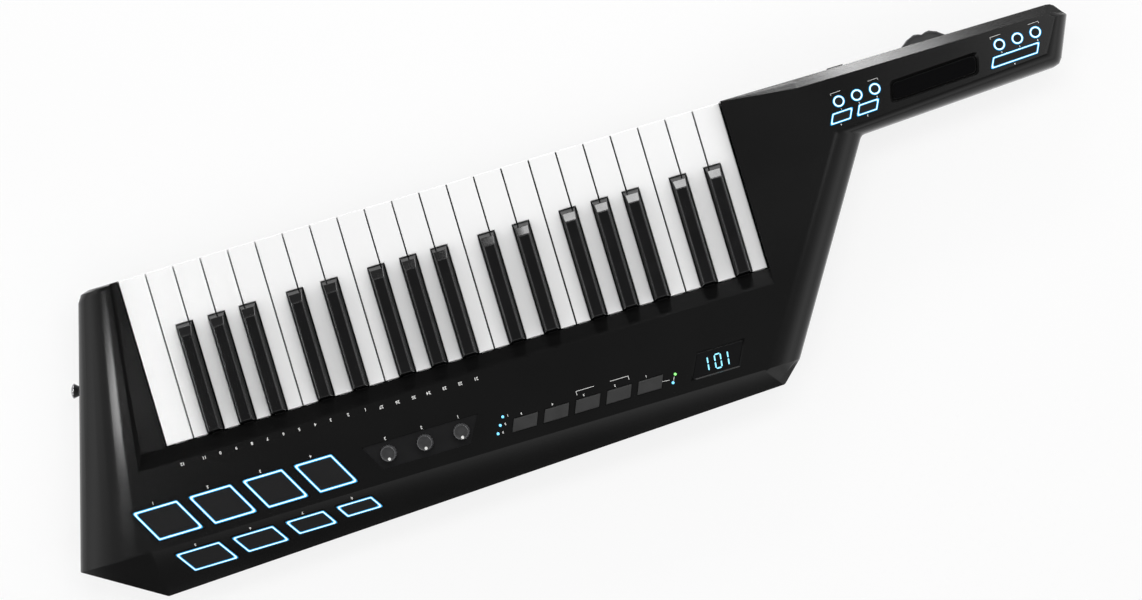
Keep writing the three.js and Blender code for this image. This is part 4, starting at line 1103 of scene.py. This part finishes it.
@dataclass
class Knobs:
    """The rotary knobs: fluted caps with a white dot, each on its own body.

    The cap's section gives the radius, the depth of the flutes and the height, from the foot to the dish.
    """

    start: float = 174.3
    pitch: float = 31.2
    y: float = -199.0
    count: int = 3
    section: tuple[Triple, ...] = (
        (7.0, 0.35, -0.8), (6.35, 0.35, 8.94), (6.2, 0.28, 9.54), (5.9, 0.0, 10.02), (5.6, 0.0, 10.14),
        (5.0, 0.0, 10.0), (3.1, 0.0, 9.79),
    )
    flutes: int = 18
    cap_sides: int = 108
    dot_sides: int = 24
    dot_profile: Points = ((9.72, 1.25), (10.176, 1.25), (10.2, 0.875))
    dot_reach: float = 4.5
    number_height: float = 2.5
    number_shift: float = 0.6
    number_y: float = -186.3

    def build(self) -> None:
        """Builds each knob and the printed numbers above them."""
        words = []
        for index in range(self.count):
            x = self.start + index * self.pitch
            self.add_cap(f"knob_{index + 1}", Vector((x, self.y)))
            words.append((str(self.count - index), x + self.number_shift, self.number_y))
        Ink().print_numbers("knob_numbers", words, self.number_height, PLAN.panel_seat)

    def add_cap(self, node: str, middle: Vector) -> None:
        """Builds one cap in place of its CAD node.

        Args:
            node: The knob's CAD node.
            middle: The place of its axis.
        """
        turns = [FULL_TURN * i / self.cap_sides for i in range(self.cap_sides)]
        skin, dot = Skin(), Skin()
        loops = []
        for radius, depth, height in self.section:
            flutes = [depth * (0.5 + 0.5 * cos(turn * self.flutes)) ** 2 for turn in turns]
            ways = [Vector((cos(turn), sin(turn))) for turn in turns]
            rim = [middle + way * (radius - flute) for way, flute in zip(ways, flutes)]
            loops.append(level(rim, height))
        # The knob's fluted sides and the round of its rim take the lighter paint, a painted highlight; the
        # dish keeps the plain paint.
        skin.add_solid(loops, [1, 1, 1, 1, 0, 0, 0])
        cap = skin.piece(node + "_cap", PLAN.panel_seat, node, [KNOB_PAINT, GRIP_PAINT_HIGHLIGHT])
        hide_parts(node)
        dot.add_turned(middle - Vector((0, self.dot_reach)), self.dot_profile, self.dot_sides)
        dot.piece(node + "_dot", PLAN.panel_seat, node, [WHITE_INK])


@dataclass
class ControlPanel:
    """What stands on the flat panel: knobs, push buttons, diodes, display and printed marks."""

    diode_radius: float = 1.15
    diode_height: float = 0.55
    diode_foot: float = -0.3
    diode_sides: int = 24
    diode_steps: int = 5
    blue_diodes: Points = (
        (272.6, -197.0), (268.7, -203.2), (265.0, -209.3), (414.7, -210.1),
    )
    green_diode: tuple[float, float] = (418.4, -203.8)
    button_count: int = 5
    button_number_start: float = 288.0
    button_pitch: float = 26.75
    button_number_y: float = -198.7
    diode_number_gap: float = 4.3
    small_number_height: float = 1.7
    number_row_y: float = -159.1
    number_row: tuple[float, ...] = (41.9, 55.6, 69.0, 82.3, 96.0, 109.5, 123.2, 136.5, 151.5, 166.2)
    end_row: tuple[float, ...] = (28.2, 9.5)
    end_row_first: int = 11
    upper_row_y: float = -160.8
    upper_row: tuple[float, ...] = (260.6, 247.0, 233.5, 219.8, 207.1, 193.3, 179.3)
    upper_row_first: int = 21
    number_height: float = 2.5
    bracket: Triple = (336.0, 381.0, -194.0)
    bracket_tick: float = 3.4
    bracket_opening: float = 14.0
    lines: tuple[tuple[tuple[float, float], tuple[float, float]], ...] = (
        ((404.0, -206.4), (412.4, -207.2)), ((415.6, -208.4), (417.0, -205.6)),
    )
    line_width: float = 0.4

    def build(self) -> None:
        """Builds the controls and the printed marks."""
        Knobs().build()
        Display().build()
        for number in range(1, self.button_count + 1):
            refined(f"panel_button_{number}", BUTTON_ABS, edge_mm=0.3)
        for index, place in enumerate(self.blue_diodes, 1):
            self.add_diode(f"blue_diode_{index}", Vector(place), BLUE_DIODE)
        self.add_diode("green_diode", Vector(self.green_diode), GREEN_DIODE)
        words = [(digit, x, self.number_row_y) for digit, x in zip("0987654321", self.number_row)]
        ends = enumerate(self.end_row, self.end_row_first)
        words += [(str(number), x, self.number_row_y) for number, x in ends]
        uppers = enumerate(self.upper_row, self.upper_row_first)
        words += [(str(number), x, self.upper_row_y) for number, x in uppers]
        marks = Ink()
        marks.print_numbers("panel_number_row", words, self.number_height, PLAN.panel_seat)
        places = [self.button_number_start + i * self.button_pitch for i in range(self.button_count)]
        small = [(str(self.button_count - i), x, self.button_number_y) for i, x in enumerate(places)]
        small += [(str(i), x + self.diode_number_gap, y) for i, (x, y) in enumerate(self.blue_diodes[:-1], 1)]
        marks.print_numbers("panel_small_numbers", small, self.small_number_height, PLAN.panel_seat)
        marks.add_bracket(self.bracket, self.bracket_tick, self.line_width, self.bracket_opening)
        for start, end in self.lines:
            marks.add_line(Vector(start), Vector(end), self.line_width)
        marks.piece("panel_lines", PLAN.panel_seat, COVER, [WHITE_INK])

    def add_diode(self, name: str, place: Vector, finish: Finish) -> None:
        """Adds a small domed lens on the panel.

        Args:
            name: The piece's name.
            place: Its place in plan.
            finish: Its glow.
        """
        turns = [pi / 2 * step / self.diode_steps for step in range(self.diode_steps)]
        dome = [(self.diode_height * sin(turn), self.diode_radius * cos(turn)) for turn in turns]
        skin = Skin()
        skin.add_turned(place, [(self.diode_foot, self.diode_radius), *dome], self.diode_sides)
        skin.piece(name, PLAN.panel_seat, "display_window", [finish])


@dataclass
class NeckHardware:
    """The touch strip, the pitch wheel and the sustain button."""

    rim_width: float = 1.2

    def build(self) -> None:
        """Dresses the strip and the button, and paints a highlight round the wheel's rim."""
        refined("touch_strip", POLYESTER_FILM, edge_mm=0.2)
        refined("sustain_button", BUTTON_ABS, edge_mm=0.5, steps=3)
        wheel = refined("pitch_wheel", WHEEL_FACE_ABS, edge_mm=0.15)
        low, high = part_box("pitch_wheel")
        radius = (high.x - low.x) / 2
        middle = Vector(((low.x + high.x) / 2, high.y - radius))
        edge = radius - self.rim_width * MM
        # The wheel's outer band takes the lighter grey of the painted rim highlight.
        second_finish(wheel, WHEEL_RIM_HIGHLIGHT_ABS, lambda _, spot: (spot.xy - middle).length > edge)


@dataclass(frozen=True)
class Lamp:
    """A lamp with a flat face, in metres and degrees. A radiance of one makes its face look white."""

    name: str
    place: Triple
    aim: Triple
    size: tuple[float, float]
    radiance: float
    spread: float = 180.0

    def build(self) -> None:
        """Adds the lamp, with the energy that its face, radiance and beam take."""
        data = bpy.data.lights.new(self.name, "AREA")
        data.shape = "RECTANGLE"
        data.size, data.size_y = self.size
        data.spread = radians(self.spread)
        gathered = 1 - data.spread / 2 / tan(data.spread / 2)
        data.energy = self.radiance * pi * self.size[0] * self.size[1] * gathered
        lamp = put(self.name, data)
        lamp.location = self.place
        lamp.rotation_euler = (Vector(self.aim) - Vector(self.place)).to_track_quat("-Z", "Y").to_euler()


@dataclass
class Studio:
    """A wide pale floor, a room that is bright all round and dim overhead, small lamps and the camera.

    The room's steps give its brightness by height, and each dim side the way to it, the angles at which it
    starts and is full, and the brightness that is left.
    """

    floor_radius: float = 14.0
    floor_sides: int = 64
    floor_colour: str = "#f4f4f4"
    floor_glow: float = 0.8
    room_peak: float = 1.35
    room_steps: Points = (
        (0.0, 0.6), (0.2, 0.82), (0.45, 1.0), (0.7, 0.65), (0.9, 0.26), (1.0, 0.14),
    )
    dim_sides: tuple[tuple[Vector, float, float, float], ...] = (
        (Vector((0.0, 0.68, 0.73)), 42.0, 16.0, 0.02),
        (Vector((-0.33, -0.95, 0.07)), 34.0, 20.0, 0.1),
    )
    lamps: tuple[Lamp, ...] = (
        Lamp("cheek_lamp", (-0.792, 0.107, 1.183), (-0.5, 0.035, 0.056), (0.06, 0.28), 60.0, 22),
        Lamp("key_softbox", (0.3, 1.05, 2.35), (0.1, 0.05, 0.05), (2.0, 0.7), 5.1),
        Lamp("nose_lamp", (0.45, 2.31, 0.92), (0.1, 0.0, 0.05), (1.0, 0.3), 12.0),
        Lamp("neck_lamp", (0.549, 2.468, 0.5), (0.29, 0.1225, 0.0535), (0.12, 0.2), 60.0, 12),
        Lamp("tip_softbox", (1.45, 0.17, 2.6), (0.7, 0.12, 0.05), (0.7, 1.4), 1.4),
    )
    camera_place: Triple = (353.73, -121.04, 2749.0)
    camera_tilt: float = radians(-16.57)
    lens: float = 103.37
    sensor: float = 36.0
    far_end: float = 50.0

    def build(self) -> None:
        """Builds the floor, the world, the lamps and the camera."""
        self.add_floor()
        self.add_world()
        for lamp in self.lamps:
            lamp.build()
        self.add_camera()

    def paper(self) -> Material:
        """Makes the floor's material: white to the camera and in reflections, with the object's shadow.

        Returns:
            The material.
        """
        made = bpy.data.materials.new("backdrop_paper")
        made.use_nodes = True
        tree = made.node_tree
        tree.nodes.clear()
        rays = add_node(tree, "ShaderNodeLightPath").outputs
        seen = rays["Is Camera Ray"]
        for kind in ("Is Glossy Ray", "Is Transmission Ray"):
            seen = add_node(tree, "ShaderNodeMath", {0: seen, 1: rays[kind]}, operation="MAXIMUM").outputs[0]
        share = add_node(tree, "ShaderNodeMath", {0: seen, 1: self.floor_glow}, operation="MULTIPLY")
        paper = add_node(tree, "ShaderNodeBsdfDiffuse", {"Color": linear(self.floor_colour)})
        glow = add_node(tree, "ShaderNodeEmission", {"Color": linear("#ffffff"), "Strength": 1.0})
        both = {0: share.outputs[0], 1: paper.outputs[0], 2: glow.outputs[0]}
        mixed = add_node(tree, "ShaderNodeMixShader", both)
        add_node(tree, "ShaderNodeOutputMaterial", {"Surface": mixed.outputs[0]})
        return made

    def add_floor(self) -> None:
        """Adds the round floor."""
        mesh = bpy.data.meshes.new("studio_floor")
        ring = circle(Vector((0.0, 0.0)), self.floor_radius, self.floor_sides)
        mesh.from_pydata(level(ring, 0.0), [], [tuple(range(len(ring)))])
        mesh.materials.append(self.paper())
        floor = put("studio_floor", mesh)

    def add_world(self) -> None:
        """Sets the room's light: graded by height, and dim in front of the keys and above them."""
        world = bpy.data.worlds.new("studio_room")
        world.use_nodes = True
        tree = world.node_tree
        tree.nodes.clear()
        way = add_node(tree, "ShaderNodeTexCoord").outputs["Generated"]
        height = add_node(tree, "ShaderNodeSeparateXYZ", {"Vector": way}).outputs["Z"]
        graded = add_node(tree, "ShaderNodeValToRGB", {"Fac": height})
        stops = graded.color_ramp.elements
        while len(stops) < len(self.room_steps):
            stops.new(0.5)
        for stop, (place, share) in zip(stops, self.room_steps):
            stop.position = place
            stop.color = (share, share, share, 1.0)
        strength = self.room_peak
        for side, reach, full, share in self.dim_sides:
            ways = {0: way, 1: side.normalized()}
            near = add_node(tree, "ShaderNodeVectorMath", ways, operation="DOT_PRODUCT")
            low, high = (cos(radians(angle)) for angle in (reach, full))
            dot = near.outputs["Value"]
            limits = {"Value": dot, "From Min": low, "From Max": high, "To Min": 1.0, "To Max": share}
            dim = add_node(tree, "ShaderNodeMapRange", limits, interpolation_type="SMOOTHSTEP")
            both = {0: strength, 1: dim.outputs["Result"]}
            strength = add_node(tree, "ShaderNodeMath", both, operation="MULTIPLY").outputs[0]
        light = {"Color": graded.outputs["Color"], "Strength": strength}
        room = add_node(tree, "ShaderNodeBackground", light)
        add_node(tree, "ShaderNodeOutputWorld", {"Surface": room.outputs[0]})
        bpy.context.scene.world = world

    def add_camera(self) -> None:
        """Adds the camera straight above the instrument, turned as in the photograph."""
        data = bpy.data.cameras.new("camera")
        data.lens = self.lens
        data.sensor_width = self.sensor
        data.sensor_fit = "HORIZONTAL"
        data.clip_end = self.far_end
        camera = put("camera", data)
        spot = PLAN.seat @ Vector(self.camera_place)
        camera.matrix_world = Matrix.Translation(spot) @ Matrix.Rotation(self.camera_tilt, 4, "Z")
        bpy.context.scene.camera = camera
        bpy.context.scene.view_settings.view_transform = "Standard"


def main() -> None:
    """Builds the whole picture in order."""
    logging.basicConfig(level=logging.INFO, format="%(name)s: %(message)s")
    Studio().build()
    Case().build()
    Keybed().build()
    upper = PadRow(
        node="upper_pad_mat", start=-42.9, width=39.8, taper=1.85, spacing=8.0,
        setback=185.6, depth=29.2, depth_taper=0.0, slant=15.9,
        seat=PLAN.panel_seat, first_number=1,
    )
    lower = PadRow(
        node="lower_pad_mat", start=-19.4, width=39.4, taper=2.4, spacing=8.95,
        setback=7.6, depth=22.8, depth_taper=2.7, slant=11.4,
        seat=PLAN.chamfer_seat, first_number=5,
    )
    inner = NeckKeypad(
        node="inner_neck_keypad", ring_x=-12.3, ring_y=6.8,
        bars=((-20.8, 14.7, 18.3), (2.1, 14.7, 18.3)), bracket=(-17.0, 24.0, 1.2), first_number=1,
    )
    outer = NeckKeypad(
        node="outer_neck_keypad", ring_x=127.5, ring_y=5.6,
        bars=((119.0, 13.7, 41.1),), bracket=(122.0, 164.0, 2.4), first_number=6,
    )
    for group in (upper, lower, inner, outer, ControlPanel(), NeckHardware()):
        group.build()
    log.info("the instrument is dressed")


if __name__ == "__main__":
    main()
